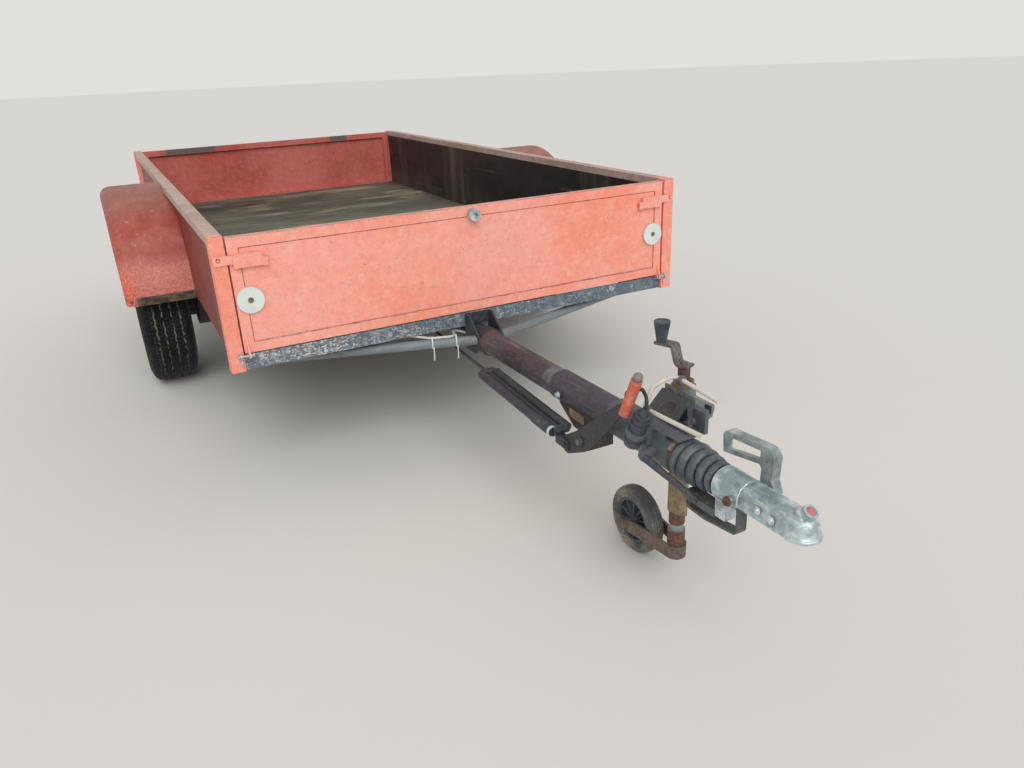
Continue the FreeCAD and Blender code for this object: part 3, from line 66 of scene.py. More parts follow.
# In millimetres: the height of the coupling's axis, and of the drawbar tube's at the box, with its rise per length.
AXIS_UP = 413.7
TUBE_UP, TUBE_RISE = 393.7, 0.0212

UP, AHEAD = (0, 0, 1), Vector((0, -1, 0))
NEAR_SIDE = (-1, 0, 0)  # the side of the hand brake
STILL = (0, 0, 0)  # a pattern that isn't shifted


def tone(red, green, blue):
    """A colour written as screen values from 0 to 255, turned linear."""
    def linear(v):
        v /= 255
        return v / 12.92 if v <= 0.04045 else ((v + 0.055) / 1.055) ** 2.4
    return (linear(red), linear(green), linear(blue), 1.0)


def colour_property(name, description, value):
    return bpy.props.FloatVectorProperty(
        name=name, description=description, subtype="COLOR", size=4, min=0, max=1, default=value)


# ---------------------------------------------------------------- shader writing


def arithmetic(operation, swapped=False):
    """A method that adds one Math node; swapped where the socket stands on the right of the sign."""
    def method(self, *other):
        inputs = (*other, self) if swapped else (self, *other)
        return self.nodes.node("ShaderNodeMath", dict(enumerate(inputs)), operation=operation)
    return method


class Value:
    """An output of a node. Arithmetic on it adds Math nodes."""

    def __init__(self, nodes, socket):
        self.nodes, self.socket = nodes, socket

    __add__, __mul__, __pow__ = arithmetic("ADD"), arithmetic("MULTIPLY"), arithmetic("POWER")
    __sub__, __rsub__ = arithmetic("SUBTRACT"), arithmetic("SUBTRACT", swapped=True)
    __abs__, __lt__, most = arithmetic("ABSOLUTE"), arithmetic("LESS_THAN"), arithmetic("MAXIMUM")


class Nodes:
    """The nodes of a material or a world, written afresh as expressions."""

    def __init__(self, owner):
        owner.use_nodes = True
        self.tree = owner.node_tree
        self.tree.nodes.clear()

    def node(self, kind, inputs=None, output=0, **settings):
        """Adds a node: its settings, then the values or links of its sockets. Returns one of its outputs."""
        made = self.tree.nodes.new(kind)
        for key, value in settings.items():
            setattr(made, key, value)
        for key, value in (inputs or {}).items():
            if isinstance(value, Value):
                self.tree.links.new(value.socket, made.inputs[key])
            else:
                made.inputs[key].default_value = value
        return Value(self, made.outputs[output]) if made.outputs else None

    def rays(self, *kinds):
        """1 for rays of either of two kinds."""
        first, second = (self.node("ShaderNodeLightPath", output=kind) for kind in kinds)
        return first.most(second)


class Finish(Nodes):
    """One material. Patterns are in metres on Object coordinates, moved by shift unless they name their own."""

    def __init__(self, name, shift=STILL):
        self.material = bpy.data.materials.new(name)
        super().__init__(self.material)
        self.place = self.node("ShaderNodeTexCoord", output="Object")
        self.shift, self.colour, self.shader = shift, None, None

    def pattern(self, kind, stretch, shift, output=0, **inputs):
        """A texture node whose coordinates are stretched, so that it runs along one way, and moved."""
        move = self.shift if shift is None else shift
        inputs["Vector"] = self.node(
            "ShaderNodeVectorMath", {0: self.place, 1: stretch, 2: move}, operation="MULTIPLY_ADD")
        return self.node(kind, inputs, output)

    def noise(self, scale, detail, stretch=(1, 1, 1), shift=None, rough=0.6):
        return self.pattern("ShaderNodeTexNoise", stretch, shift, Scale=scale, Detail=detail, Roughness=rough)

    def cells(self, scale, output, shift=None):
        """Random cells: the Distance from their middles, or a Color for each."""
        return self.pattern("ShaderNodeTexVoronoi", (1, 1, 1), shift, output, Scale=scale)

    def band(self, value, low, high):
        """0 below low, 1 above high and a smooth rise between; low above high falls instead."""
        return self.node("ShaderNodeMapRange", {0: value, 1: low, 2: high}, interpolation_type="SMOOTHSTEP")

    def clouds(self, low, high, *noise, **settings):
        """Noise cut to a mask by a band."""
        return self.band(self.noise(*noise, **settings), low, high)

    def axis(self, index, vector=None):
        """One part of the coordinates, or of another vector."""
        return self.node("ShaderNodeSeparateXYZ", {0: vector or self.place}, index)

    def specks(self, scale, size, share, shift=None):
        """Small round dots in a share of the cells of a random grid."""
        draw = self.axis(0, self.cells(scale, "Color", shift))
        return self.band(self.cells(scale, "Distance", shift), size, size * 0.6) * (draw < share)

    def edges(self, radius):
        """1 on sharp edges, 0 on flat faces."""
        normals = {0: self.node("ShaderNodeBevel", {"Radius": radius}, samples=4),
                   1: self.node("ShaderNodeNewGeometry", output="Normal")}
        along = self.node("ShaderNodeVectorMath", normals, "Value", operation="DOT_PRODUCT")
        return self.band(along, 0.995, 0.8)

    def mix(self, amount, first, second):
        return self.node("ShaderNodeMix", {0: amount, 6: first, 7: second}, 2, data_type="RGBA", clamp_factor=True)

    def lay(self, amount, colour):
        """Lays a colour over what is there by an amount, also when the surface is finished."""
        self.colour = self.mix(amount, self.colour, colour)
        if self.shader:
            self.tree.links.new(self.colour.socket, self.shader.socket.node.inputs["Base Color"])

    def surface(self, roughness, height, depth, strength, **constants):
        """Finishes the material with a bump of its height; the constants name other sockets of the shader."""
        bump = self.node("ShaderNodeBump", {"Height": height, "Distance": depth, "Strength": strength})
        inputs = {"Base Color": self.colour, "Roughness": roughness, "Normal": bump}
        inputs.update({key.replace("_", " "): value for key, value in constants.items()})
        self.shader = self.node("ShaderNodeBsdfPrincipled", inputs)
        self.node("ShaderNodeOutputMaterial", {"Surface": self.shader})
        return self


# ---------------------------------------------------------------- finishes

MUD = tone(96, 84, 70)
RUST = tone(110, 62, 40)


def painted_steel(name, body, faded, under, shift, specks, chips, dirt, roughness=0.42, rubbed_above=None,
                  bloom=tone(250, 206, 190)):
    """Old brushed paint over steel: faded clouds, dark specks, chips to the under coat and worn edges."""
    m = Finish(name, shift)
    fine = m.noise(45, 8, rough=0.7)
    m.colour = m.mix(m.clouds(0.35, 0.66, 2.2, 3), body, faded)
    m.lay(m.band(fine, 0.4, 0.75) * 0.16, under)
    m.lay(m.clouds(0.5, 0.72, 14, 6) * m.clouds(0.5, 0.66, 160, 4) * 0.35, bloom)
    patch = m.clouds(0.42, 0.62, 4, 4)
    small = m.specks(205, 0.26, specks * 0.45)
    large = m.specks(56, 0.13, specks * 0.09)
    pins = m.clouds(0.62, 0.7, 310, 3) * m.clouds(0.36, 0.6, 13, 5) * specks * 0.6
    dots = (small * (patch * 0.7 + 0.3)).most(large).most(pins)
    m.lay(dots * 0.68, under)
    m.lay(m.clouds(0.46, 0.66, 34, 7, rough=0.75) * 0.3, bloom)
    flake = m.clouds(0.67, 0.70, 26, 7, shift=(7, 3, 1), rough=0.62) * chips
    bare = flake.most(m.edges(0.004) * m.clouds(0.44, 0.6, 60, 6) * 0.6)
    m.lay(bare, under)
    grime = m.clouds(0.46, 0.8, 1.6, 6, shift=(2, 5, 9), rough=0.7) * dirt
    m.lay(grime, MUD)
    if rubbed_above:
        top = m.band(m.axis(2), rubbed_above - 0.0025, rubbed_above)
        m.lay(top * m.clouds(0.36, 0.56, 38, 7, (0.4, 1, 1), STILL) * 0.8, tone(158, 138, 138))
    rough = m.band(fine, 0.2, 0.8) * 0.18 + roughness + bare * 0.25 + grime * 0.3
    height = fine * 0.35 - bare * 0.7 - dots * 0.4 + m.noise(220, 3, shift=STILL) * 0.12
    return m.surface(rough, height, 0.0012, 0.35)


def wall_paint_and_shade(outer, faded, under, face_at):
    """A side wall: paint darkened with painted shade on its outside, and a dusty black film on the side that faces the
    load.
    """
    m = Finish("wall_paint_and_shade")
    fine = m.noise(60, 8, rough=0.7)
    # The outer red is the box's paint darkened as painted shade of the walls' sides.
    m.colour = m.mix(m.clouds(0.35, 0.65, 2.5, 4), outer, faded)
    m.lay(m.specks(90, 0.2, 0.14).most(m.band(fine, 0.62, 0.7) * 0.4), under)
    m.lay(m.band(m.axis(2), 0.62, 0.45) * m.clouds(0.4, 0.6, 9, 6) * 0.45, MUD)
    paint = m.colour
    m.colour = m.mix(m.clouds(0.4, 0.7, 3, 5, (0.5, 0.5, 2)), tone(22, 23, 26), tone(44, 43, 43))
    streak = m.clouds(0.48, 0.74, 7, 7, (1, 1, 0.12), rough=0.65)
    m.lay(streak * 0.45, tone(120, 110, 92))
    low_dust = m.band(m.axis(2), 0.66, 0.5) * m.clouds(0.3, 0.7, 6, 6)
    m.lay(low_dust * 0.55, tone(104, 96, 78))
    m.lay(m.clouds(0.66, 0.7, 30, 3, (1, 0.06, 1.2)) * 0.5, tone(92, 88, 80))
    m.colour = m.mix(m.band(abs(m.axis(0)), face_at + 0.001, face_at), paint, m.colour)
    rough = m.band(fine, 0.2, 0.8) * 0.2 + 0.4 + low_dust * 0.25
    return m.surface(rough, fine * 0.4 + streak * 0.3, 0.001, 0.35, Specular_IOR_Level=0.3)


def weathered_ply():
    """The floor: grey-brown plywood with dark patches, darker along the side walls and towards the front, and pale
    sandy streaks.
    """
    m = Finish("floor_ply")
    grain = m.noise(28, 8, (0.12, 1, 1), rough=0.68)
    m.colour = m.mix(m.clouds(0.34, 0.62, 1.7, 5, (0.6, 1, 1)), tone(58, 57, 51), tone(108, 104, 92))
    m.lay(m.band(grain, 0.42, 0.7) * 0.5, tone(44, 41, 35))
    sand = m.clouds(0.5, 0.72, 4.2, 7, (0.35, 1, 1), (3, 1, 0), 0.62) * m.band(m.axis(1), -0.3, 1.6)
    sand = sand + m.clouds(0.56, 0.7, 2.4, 5, (0.3, 1, 1), (9, 2, 0)) * 0.4
    m.lay(sand * 0.85, tone(168, 156, 130))
    # Darker in patches along the side walls and towards the front gate.
    rim = m.band(abs(m.axis(0)), 0.66, 0.735).most(m.band(m.axis(1), -0.64, -0.73)) * m.clouds(0.3, 0.7, 12, 6)
    m.lay(rim * 0.7, tone(38, 35, 30))
    crumbs = m.specks(70, 0.2, 0.2, (4, 4, 4))
    m.lay(crumbs * 0.6, tone(132, 112, 80))
    height = grain + crumbs * 0.6 + sand * 0.3
    return m.surface(m.band(grain, 0.3, 0.7) * 0.15 + 0.72, height, 0.0015, 0.45, Specular_IOR_Level=0.3)


def worn_black(name, base, dust, shift=STILL, spatter=0.5, rust=0.15, roughness=0.5, metal=0.0, heavy=False):
    """Black or blue-grey paint on steel, spattered with pale road dirt and touched by rust."""
    m = Finish(name, shift)
    broad = m.noise(3, 6, rough=0.65)
    fine = m.noise(70, 8, rough=0.7)
    m.colour = m.mix(m.band(broad, 0.3, 0.7) * 0.5, base, tuple(min(1, c * 1.9) for c in base[:3]) + (1.0,))
    grit = m.band(fine, 0.5, 0.62) * m.clouds(0.42, 0.66, 5, 6, shift=(1, 8, 3), rough=0.7)
    splash = m.specks(95, 0.3, 0.35) * m.band(broad, 0.4, 0.6)
    if heavy:
        side = m.band(m.axis(0), 0.25, -0.7) * 0.55 + 0.25
        flecks = m.clouds(0.5, 0.6, 210, 5, (0.5, 1, 1), rough=0.7) * m.clouds(0.3, 0.62, 9, 6)
        streak = m.clouds(0.52, 0.66, 24, 6, (1, 1, 0.15)) * 0.5
        splash = splash.most(flecks.most(streak) * side * 1.3)
    m.lay((grit * 0.8).most(splash) * spatter, dust)
    rusty = m.clouds(0.58, 0.68, 11, 7, shift=(5, 5, 2), rough=0.7) * rust
    rusty = rusty.most(m.edges(0.003) * m.clouds(0.42, 0.6, 80, 5, shift=STILL) * rust * 1.5)
    m.lay(rusty, RUST)
    rough = m.band(fine, 0.2, 0.8) * 0.25 + roughness + grit * 0.2 + rusty * 0.2
    return m.surface(rough, fine * 0.5 + grit * 0.5 - rusty * 0.4, 0.0012, 0.4, Metallic=metal)


def rusty_steel(name, dark, light, amount=0.8, shift=STILL, metal=0.25):
    """Bare steel gone to rust, with rubbed bright spots."""
    m = Finish(name, shift)
    broad = m.noise(9, 7, rough=0.7)
    fine = m.noise(120, 7, rough=0.72)
    m.colour = m.mix(m.band(broad, 0.36, 0.64), dark, light)
    m.lay(m.band(fine, 0.46, 0.66) * 0.55, tone(58, 40, 32))
    rubbed = m.clouds(0.6, 0.72, 24, 6, (1, 1, 0.4)) * (1 - amount)
    m.lay(rubbed, tone(132, 122, 112))
    rough = m.band(fine, 0.3, 0.7) * 0.25 + 0.6 - rubbed * 0.2
    return m.surface(rough, fine * 0.7 + broad * 0.3, 0.0012, 0.5, Metallic=metal)


def galvanised(name, shift=STILL):
    """Dull zinc over a casting: pale blue-grey, mottled, with white bloom and dirt in the corners."""
    m = Finish(name, shift)
    flake = m.axis(0, m.cells(150, "Color"))
    broad = m.noise(16, 7, rough=0.66)
    fine = m.noise(170, 6, rough=0.7)
    m.colour = m.mix(flake * 0.35, tone(146, 162, 168), tone(178, 192, 196))
    m.lay(m.band(broad, 0.44, 0.64) * 0.8, tone(222, 232, 234))
    m.lay(m.clouds(0.56, 0.68, 30, 7, shift=(3, 2, 5)) * 0.5, tone(96, 102, 98))
    m.lay(m.edges(0.004) * 0.4, tone(214, 222, 220))
    rusty = m.clouds(0.66, 0.74, 21, 7, shift=(8, 8, 1), rough=0.7)
    m.lay(rusty * 0.5, tone(168, 104, 58))
    m.lay(m.clouds(0.54, 0.64, 40, 6, (1, 0.25, 1), STILL, 0.7) * 0.5, tone(224, 234, 232))
    rough = m.band(fine, 0.25, 0.75) * 0.25 + 0.25 + rusty * 0.2
    return m.surface(rough, fine * 0.5 + broad * 0.4 + flake * 0.1, 0.0014, 0.45, Metallic=0.55)


def fender_paint(body):
    """A fender: bleached brown on top, red below, pink and speckled at the foot, with grey chips and a muddy lip."""
    m = Finish("fender_paint")
    up, out = m.axis(2), abs(m.axis(0))
    fine = m.noise(60, 8, rough=0.7)
    top = m.band(up + m.noise(5, 4) * 0.08, 0.74, 0.85)
    foot = m.band(up + m.noise(6, 5) * 0.12, 0.68, 0.58)
    m.colour = m.mix(top * 0.92, body, tone(146, 100, 90))
    m.lay(foot * 0.9, tone(206, 116, 102))
    m.lay(foot * m.band(out + m.noise(14, 5) * 0.04, 0.955, 1.0) * 0.85, tone(206, 84, 54))
    m.lay(m.band(fine, 0.42, 0.75) * 0.14, tone(110, 56, 46))
    m.lay(m.clouds(0.4, 0.68, 16, 7, rough=0.7) * 0.3, tone(206, 130, 116))
    m.lay(m.clouds(0.46, 0.6, 130, 6, rough=0.75) * foot * 0.5, tone(232, 166, 152))
    flecks = m.specks(70, 0.26, 0.3, (2, 1, 1)) * m.clouds(0.42, 0.56, 11, 4)
    flecks = flecks.most(m.clouds(0.66, 0.7, 48, 5, (1, 1, 0.6)))
    m.lay(flecks * 0.5 * (1 - foot * 0.4), tone(168, 158, 154))
    pits = m.specks(190, 0.3, 0.4).most(m.clouds(0.57, 0.64, 200, 5, rough=0.7)) * foot * m.clouds(0.3, 0.55, 14, 5)
    m.lay(pits * 0.65, tone(104, 64, 54))
    chips = m.clouds(0.6, 0.62, 27, 5, shift=(4, 4, 4)) * m.band(out, 0.95, 0.985) * (1 - foot)
    chips = chips.most(m.clouds(0.69, 0.7, 15, 3, shift=(1, 6, 0)) * (1 - foot))
    m.lay(chips, tone(118, 128, 134))
    lip = m.band(up, 0.456, 0.45) * m.band(out, 0.972, 0.962)
    m.lay(lip, m.mix(m.clouds(0.4, 0.62, 40, 7, (0.5, 1, 1)), tone(58, 50, 43), tone(110, 94, 72)))
    rust = m.band(up, 0.48, 0.44) * m.clouds(0.5, 0.62, 50, 6) * (1 - lip)
    m.lay(rust * 0.8, tone(96, 58, 44))
    rough = m.band(fine, 0.2, 0.8) * 0.2 + 0.4 + lip * 0.4 + top * 0.15
    return m.surface(rough, fine * 0.4 - chips * 0.6 - pits * 0.4 + lip * 0.6, 0.0012, 0.35)


def drawbar_steel():
    """The main tube: purple-brown bare paint with brushed marks, rust at its collar, blue-grey at its sleeve, painted
    shade below.
    """
    m = Finish("drawbar_paint")
    ahead, up = FRONT - m.axis(1), m.axis(2)
    fine = m.noise(90, 8, rough=0.7)
    marks = m.noise(60, 6, (1, 0.12, 1), rough=0.65)
    m.colour = m.mix(m.clouds(0.32, 0.66, 5, 7, rough=0.68), tone(56, 52, 59), tone(92, 86, 95))
    m.lay(m.band(marks, 0.5, 0.68) * 0.5, tone(144, 134, 138))
    m.lay(m.band(fine, 0.52, 0.7) * 0.5, tone(44, 38, 42))
    m.lay(m.clouds(0.56, 0.66, 260, 4, rough=0.7) * m.band(up, 0.39, 0.43) * 0.45, tone(160, 150, 148))
    m.lay(m.band(ahead, 0.42, 0.6) * 0.45, tone(64, 68, 79))
    # Painted shade: the lower half of the tube is darkened.
    m.lay(m.band(up, 0.4, 0.365) * 0.7, tone(36, 34, 39))
    m.lay(m.band(ahead, 0.135, 0.098) * m.clouds(0.42, 0.6, 34, 6) * 0.7, tone(124, 86, 66))
    m.lay(m.band(ahead, 0.06, 0.05) * 0.8, tone(62, 68, 76))
    m.lay(m.band(abs(ahead - 0.5), 0.03, 0.015) * m.clouds(0.35, 0.6, 40, 5) * 0.75, tone(118, 124, 134))
    rusty = m.clouds(0.62, 0.7, 16, 7, shift=(5, 5, 2), rough=0.7)
    m.lay(rusty * 0.4, RUST)
    rough = m.band(fine, 0.2, 0.8) * 0.2 + 0.48 + rusty * 0.2
    return m.surface(rough, fine * 0.5 + marks * 0.3, 0.0012, 0.4, Metallic=0.15, Specular_IOR_Level=0.35)


def bellows_rubber():
    """Blue-black rubber folds, dusty on their crests, with painted shade darkening the valleys between them."""
    m = Finish("gaiter_rubber")
    ahead, up, out = FRONT - m.axis(1), m.axis(2) - AXIS_UP / 1000, m.axis(0)
    radius = (up * up + out * out) ** 0.5
    crest = m.band(radius + (ahead - 1.046) * 0.1, 0.0405, 0.0475)
    fine = m.noise(190, 6, rough=0.7)
    broad = m.noise(18, 6)
    # Painted shade: the valleys between the folds are darkened, and the crests are lighter.
    m.colour = m.mix(crest, tone(24, 27, 31), tone(72, 80, 88))
    m.lay(m.band(broad, 0.44, 0.66) * crest * 0.5, tone(126, 132, 134))
    m.lay(m.band(fine, 0.5, 0.66) * 0.4, tone(136, 136, 128))
    return m.surface(m.band(fine, 0.2, 0.8) * 0.2 + 0.36, fine + broad * 0.5, 0.001, 0.3)


def rubber(name, base, dust, dusting=0.4, shift=STILL):
    """Rubber with a grey dusty bloom."""
    m = Finish(name, shift)
    fine = m.noise(150, 6, rough=0.7)
    m.colour = m.mix(m.clouds(0.38, 0.68, 8, 6) * m.band(fine, 0.3, 0.6) * dusting, base, dust)
    return m.surface(m.band(fine, 0.2, 0.8) * 0.2 + 0.62, fine, 0.0008, 0.35)


def tread_rubber(name, axle, groove, crown):
    """Black rubber whose grooves hold pale dirt: dirt lies below the crown's radius about the axle."""
    m = Finish(name)
    up, along = m.axis(2) - axle.z, m.axis(1) - axle.y
    radius = (up * up + along * along) ** 0.5
    deep = m.band(radius, crown, groove) * m.band(radius, groove - 0.012, groove - 0.006)
    deep = deep * m.band(abs(abs(m.axis(0)) - HALF_TRACK), 0.066, 0.056)
    fine = m.noise(170, 6, rough=0.7)
    broad = m.noise(11, 6, shift=(3, 1, 1))
    m.colour = m.mix(m.band(broad, 0.35, 0.7) * 0.5, tone(10, 14, 19), tone(25, 28, 32))
    m.lay(m.band(fine, 0.52, 0.64) * m.band(broad, 0.4, 0.62) * 0.22, tone(116, 114, 102))
    m.lay(deep * m.clouds(0.36, 0.58, 60, 5) * 0.85, tone(162, 158, 142))
    return m.surface(m.band(fine, 0.2, 0.8) * 0.2 + 0.62, fine, 0.0008, 0.35, Specular_IOR_Level=0.2)


def plastic(name, base, aged, shift=STILL, roughness=0.45):
    """Moulded plastic, a little scuffed and faded."""
    m = Finish(name, shift)
    fine = m.noise(190, 5)
    m.colour = m.mix(m.clouds(0.4, 0.7, 14, 6) * 0.6, base, aged)
    m.lay(m.clouds(0.62, 0.7, 70, 4, (1, 0.2, 1)) * 0.3, aged)
    return m.surface(m.band(fine, 0.3, 0.7) * 0.15 + roughness, fine, 0.0005, 0.25)


# ---------------------------------------------------------------- shaping by hand


def at(x, ahead, z):
    """A point in millimetres: across, ahead of the box, and above the floor."""
    return Vector((x / 1000, FRONT - ahead / 1000, z / 1000))


def middle_of(node):
    low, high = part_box(node)
    return (low + high) / 2


def alone(piece):
    """Leaves only this piece selected, or nothing, in object mode."""
    if bpy.context.mode != "OBJECT":
        bpy.ops.object.mode_set(mode="OBJECT")
    bpy.ops.object.select_all(action="DESELECT")
    if piece:
        piece.select_set(True)
        bpy.context.view_layer.objects.active = piece


def begin(name, add, **settings):
    """A primitive of its own, at its size and place."""
    alone(None)
    add(**settings)
    piece = bpy.context.object
    piece.name = name
    bpy.ops.object.transform_apply()
    return piece


def brick(name, size, centre=(0, 0, 0)):
    """A cube stretched to a size in millimetres, ready to be shaped."""
    return begin(name, bpy.ops.mesh.primitive_cube_add, size=1, scale=[s / 1000 for s in size],
                 location=[c / 1000 for c in centre])


def shape(piece, action="DESELECT"):
    """Opens a piece for editing, with nothing or all of it selected."""
    alone(piece)
    bpy.ops.object.mode_set(mode="EDIT")
    bpy.ops.mesh.select_mode(type="VERT")
    bpy.ops.mesh.select_all(action=action)


def pick(kind, test):
    """Selects the faces, edges or vertices whose middle and direction pass a test."""
    bpy.ops.mesh.select_mode(type=kind)
    bpy.ops.mesh.select_all(action="DESELECT")
    mesh = bpy.context.edit_object.data
    body = bmesh.from_edit_mesh(mesh)
    if kind == "FACE":
        chosen = [f for f in body.faces if test(f.calc_center_median(), f.normal)]
    elif kind == "EDGE":
        chosen = [e for e in body.edges
                  if test((e.verts[0].co + e.verts[1].co) / 2, (e.verts[1].co - e.verts[0].co).normalized())]
    else:
        chosen = [v for v in body.verts if test(v.co, v.normal)]
    for item in chosen:
        item.select_set(True)
    body.select_flush_mode()
    bmesh.update_edit_mesh(mesh)


def soften(piece, width, segments=2):
    """Rounds every edge of a piece by a width in millimetres."""
    shape(piece, "SELECT")
    bpy.ops.mesh.bevel(offset=width / 1000, segments=segments, affect="EDGES")
    alone(piece)
    return piece


def turned(name, outline, steps):
    """A piece turned about Z: its outline is pairs of radius and height in millimetres."""
    piece = begin(name, bpy.ops.mesh.primitive_plane_add, size=0.01)
    shape(piece, "SELECT")
    bpy.ops.mesh.merge(type="CENTER")
    places = [Vector((r / 1000, 0, h / 1000)) for r, h in outline]
    bpy.ops.transform.translate(value=places[0])
    for last, place in zip(places, places[1:]):
        bpy.ops.mesh.extrude_region_move(TRANSFORM_OT_translate={"value": place - last})
    bpy.ops.mesh.select_all(action="SELECT")
    bpy.ops.mesh.spin(steps=steps, angle=math.tau, center=(0, 0, 0), axis=(0, 0, 1))
    bpy.ops.mesh.select_all(action="SELECT")
    bpy.ops.mesh.remove_doubles(threshold=0.00001)
    bpy.ops.mesh.dissolve_degenerate(threshold=0.00001)
    bpy.ops.mesh.select_all(action="SELECT")
    bpy.ops.mesh.normals_make_consistent(inside=False)
    alone(piece)
    return piece


def settle(piece, matrix):
    """Moves a piece by a matrix, and applies that."""
    alone(piece)
    piece.matrix_world = matrix
    bpy.ops.object.transform_apply()
    return piece


def stand(piece, where, way=UP, turn=0.0):
    """Points a piece's own Z along a direction at a place."""
    aim = Vector(UP).rotation_difference(Vector(way)).to_matrix().to_4x4()
    return settle(piece, Matrix.Translation(where) @ aim @ Matrix.Rotation(math.radians(turn), 4, "Z"))


def joined(name, pieces):
    """Several pieces made one."""
    alone(pieces[0])
    for piece in pieces:
        piece.select_set(True)
    if len(pieces) > 1:
        bpy.ops.object.join()
    piece = bpy.context.object
    piece.name = name
    return piece


def copies(pattern, name, places):
    """The pattern repeated at places, each (where, way, turn), as one piece; the pattern itself goes."""
    made = []
    for where, way, turn in places:
        alone(pattern)
        bpy.ops.object.duplicate()
        made.append(stand(bpy.context.object, where, way, turn))
    bpy.data.objects.remove(pattern)
    return joined(name, made)


def done(piece, body, finish, slot, *replaced, angle=35):
    """Gives a piece its finish and its body, and hides the nodes that it stands for; its slot is not used."""
    alone(piece)
    piece.data.materials.clear()
    piece.data.materials.append(finish.material)
    bpy.ops.object.shade_smooth_by_angle(angle=math.radians(angle))
    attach(piece, body)
    if replaced:
        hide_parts(*replaced)


def bolt(across, height, washer):
    """A hexagon head on a washer, standing on Z = 0; its width is measured across two flats."""
    thick, rim = 1.8, 0.6
    head = begin("bolt", bpy.ops.mesh.primitive_cylinder_add, vertices=6, radius=across / 1732,
                 depth=height / 1000, location=(0, 0, (height / 2 + thick) / 1000))
    shape(head)
    pick("FACE", lambda m, n: n.z > 0.9)
    bpy.ops.mesh.inset(thickness=across * 0.06 / 1000, depth=across * 0.04 / 1000)
    edge = washer + rim
    ring = turned("ring", [(0, thick), (washer, thick), (edge, thick - rim), (edge, 0), (0, 0)], 24)
    return joined("bolt", [head, ring])


def place_round(point, parts):
    """The number of a point's place round Z, out of so many."""
    return round(math.atan2(point.y, point.x) / math.tau * parts)


def hoop(inner, outer, width, bevel, step=0.6):
    """The outline of a band with cut outer corners: pairs of radius and height."""
    return [(inner, 0), (outer - bevel, 0), (outer, step), (outer, width - step), (outer - bevel, width),
            (inner, width), (inner, 0)]


# ---------------------------------------------------------------- settings a user may change


class TrailerColours(bpy.types.PropertyGroup):
    gate_paint: colour_property("Gate paint", "Paint of the front gate and the posts", tone(250, 148, 124))
    gate_faded: colour_property("Gate paint, faded", "Where the gate's paint has bleached", tone(251, 168, 150))
    # Painted shade: the walls' red is set darker than the gate's.
    wall_paint_and_shade: colour_property("Wall paint", "Paint on the outside of the walls", tone(124, 50, 43))
    fender_paint: colour_property("Fender paint", "Paint of the fenders", tone(164, 68, 54))
    floor_stage: colour_property("Studio floor", "Colour of the floor that the trailer stands on", tone(226, 224, 220))


class StageSizes(bpy.types.PropertyGroup):
    floor_radius: bpy.props.FloatProperty(
        name="Floor radius", description="Radius of the studio floor", subtype="DISTANCE", unit="LENGTH", min=0,
        default=60.0)
    key_strength: bpy.props.FloatProperty(name="Key light", description="Strength of the soft key light", default=1.5)
    sky_strength: bpy.props.FloatProperty(name="Sky light", description="Strength of the even light", default=0.62)


# ---------------------------------------------------------------- operators


class TRAILER_OT_stage(bpy.types.Operator):
    """Pale floor, soft light and the camera at the photograph's angle"""
    bl_idname = "trailer.stage"
    bl_label = "Stage"

    def execute(self, context):
        sizes, pale = context.scene.trailer_stage, tuple(context.scene.trailer_colours.floor_stage)
        floor = begin("studio_floor", bpy.ops.mesh.primitive_circle_add, vertices=96, radius=sizes.floor_radius,
                      fill_type="NGON")
        m = Finish("studio_floor")
        matt = m.node("ShaderNodeBsdfDiffuse", {"Color": m.mix(m.noise(3, 4) * 0.12, pale, tone(214, 212, 208))})
        lit = m.node("ShaderNodeEmission", {"Color": pale, "Strength": 1.0})
        share = m.rays("Is Glossy Ray", "Is Transmission Ray") * 0.6
        m.node("ShaderNodeOutputMaterial", {"Surface": m.node("ShaderNodeMixShader", {0: share, 1: matt, 2: lit})})
        floor.data.materials.append(m.material)

        context.scene.world = bpy.data.worlds.new("studio")
        sky = Nodes(context.scene.world)
        light = sky.node("ShaderNodeBackground", {"Color": (1.0, 0.99, 0.97, 1), "Strength": sizes.sky_strength})
        shown = sky.node("ShaderNodeBackground", {"Color": pale, "Strength": 1.0})
        seen = sky.rays("Is Camera Ray", "Is Glossy Ray")
        sky.node("ShaderNodeOutputWorld", {"Surface": sky.node("ShaderNodeMixShader", {0: seen, 1: light, 2: shown})})

        bpy.ops.object.light_add(type="SUN", rotation=(math.radians(52), 0, math.radians(-14)))
        key = context.object
        key.name = "key_light"
        key.data.energy, key.data.angle = sizes.key_strength, math.radians(42)

        camera = bpy.data.objects.new("camera", bpy.data.cameras.new("camera"))
        context.scene.collection.objects.link(camera)
        camera.data.lens, camera.data.sensor_width = CAMERA_LENS, CAMERA_SENSOR
        camera.data.clip_start, camera.data.clip_end = 0.05, 200
        camera.location = CAMERA_AT
        camera.rotation_euler = Euler([math.radians(a) for a in CAMERA_TURN])
        context.scene.camera = camera
        context.scene.view_settings.view_transform = "Standard"
        return {"FINISHED"}


def dress(names, finish):
    """Gives CAD nodes their finish."""
    for name in names.split():
        slots = NODES[name].data.materials
        slots.clear()
        slots.append(finish.material)


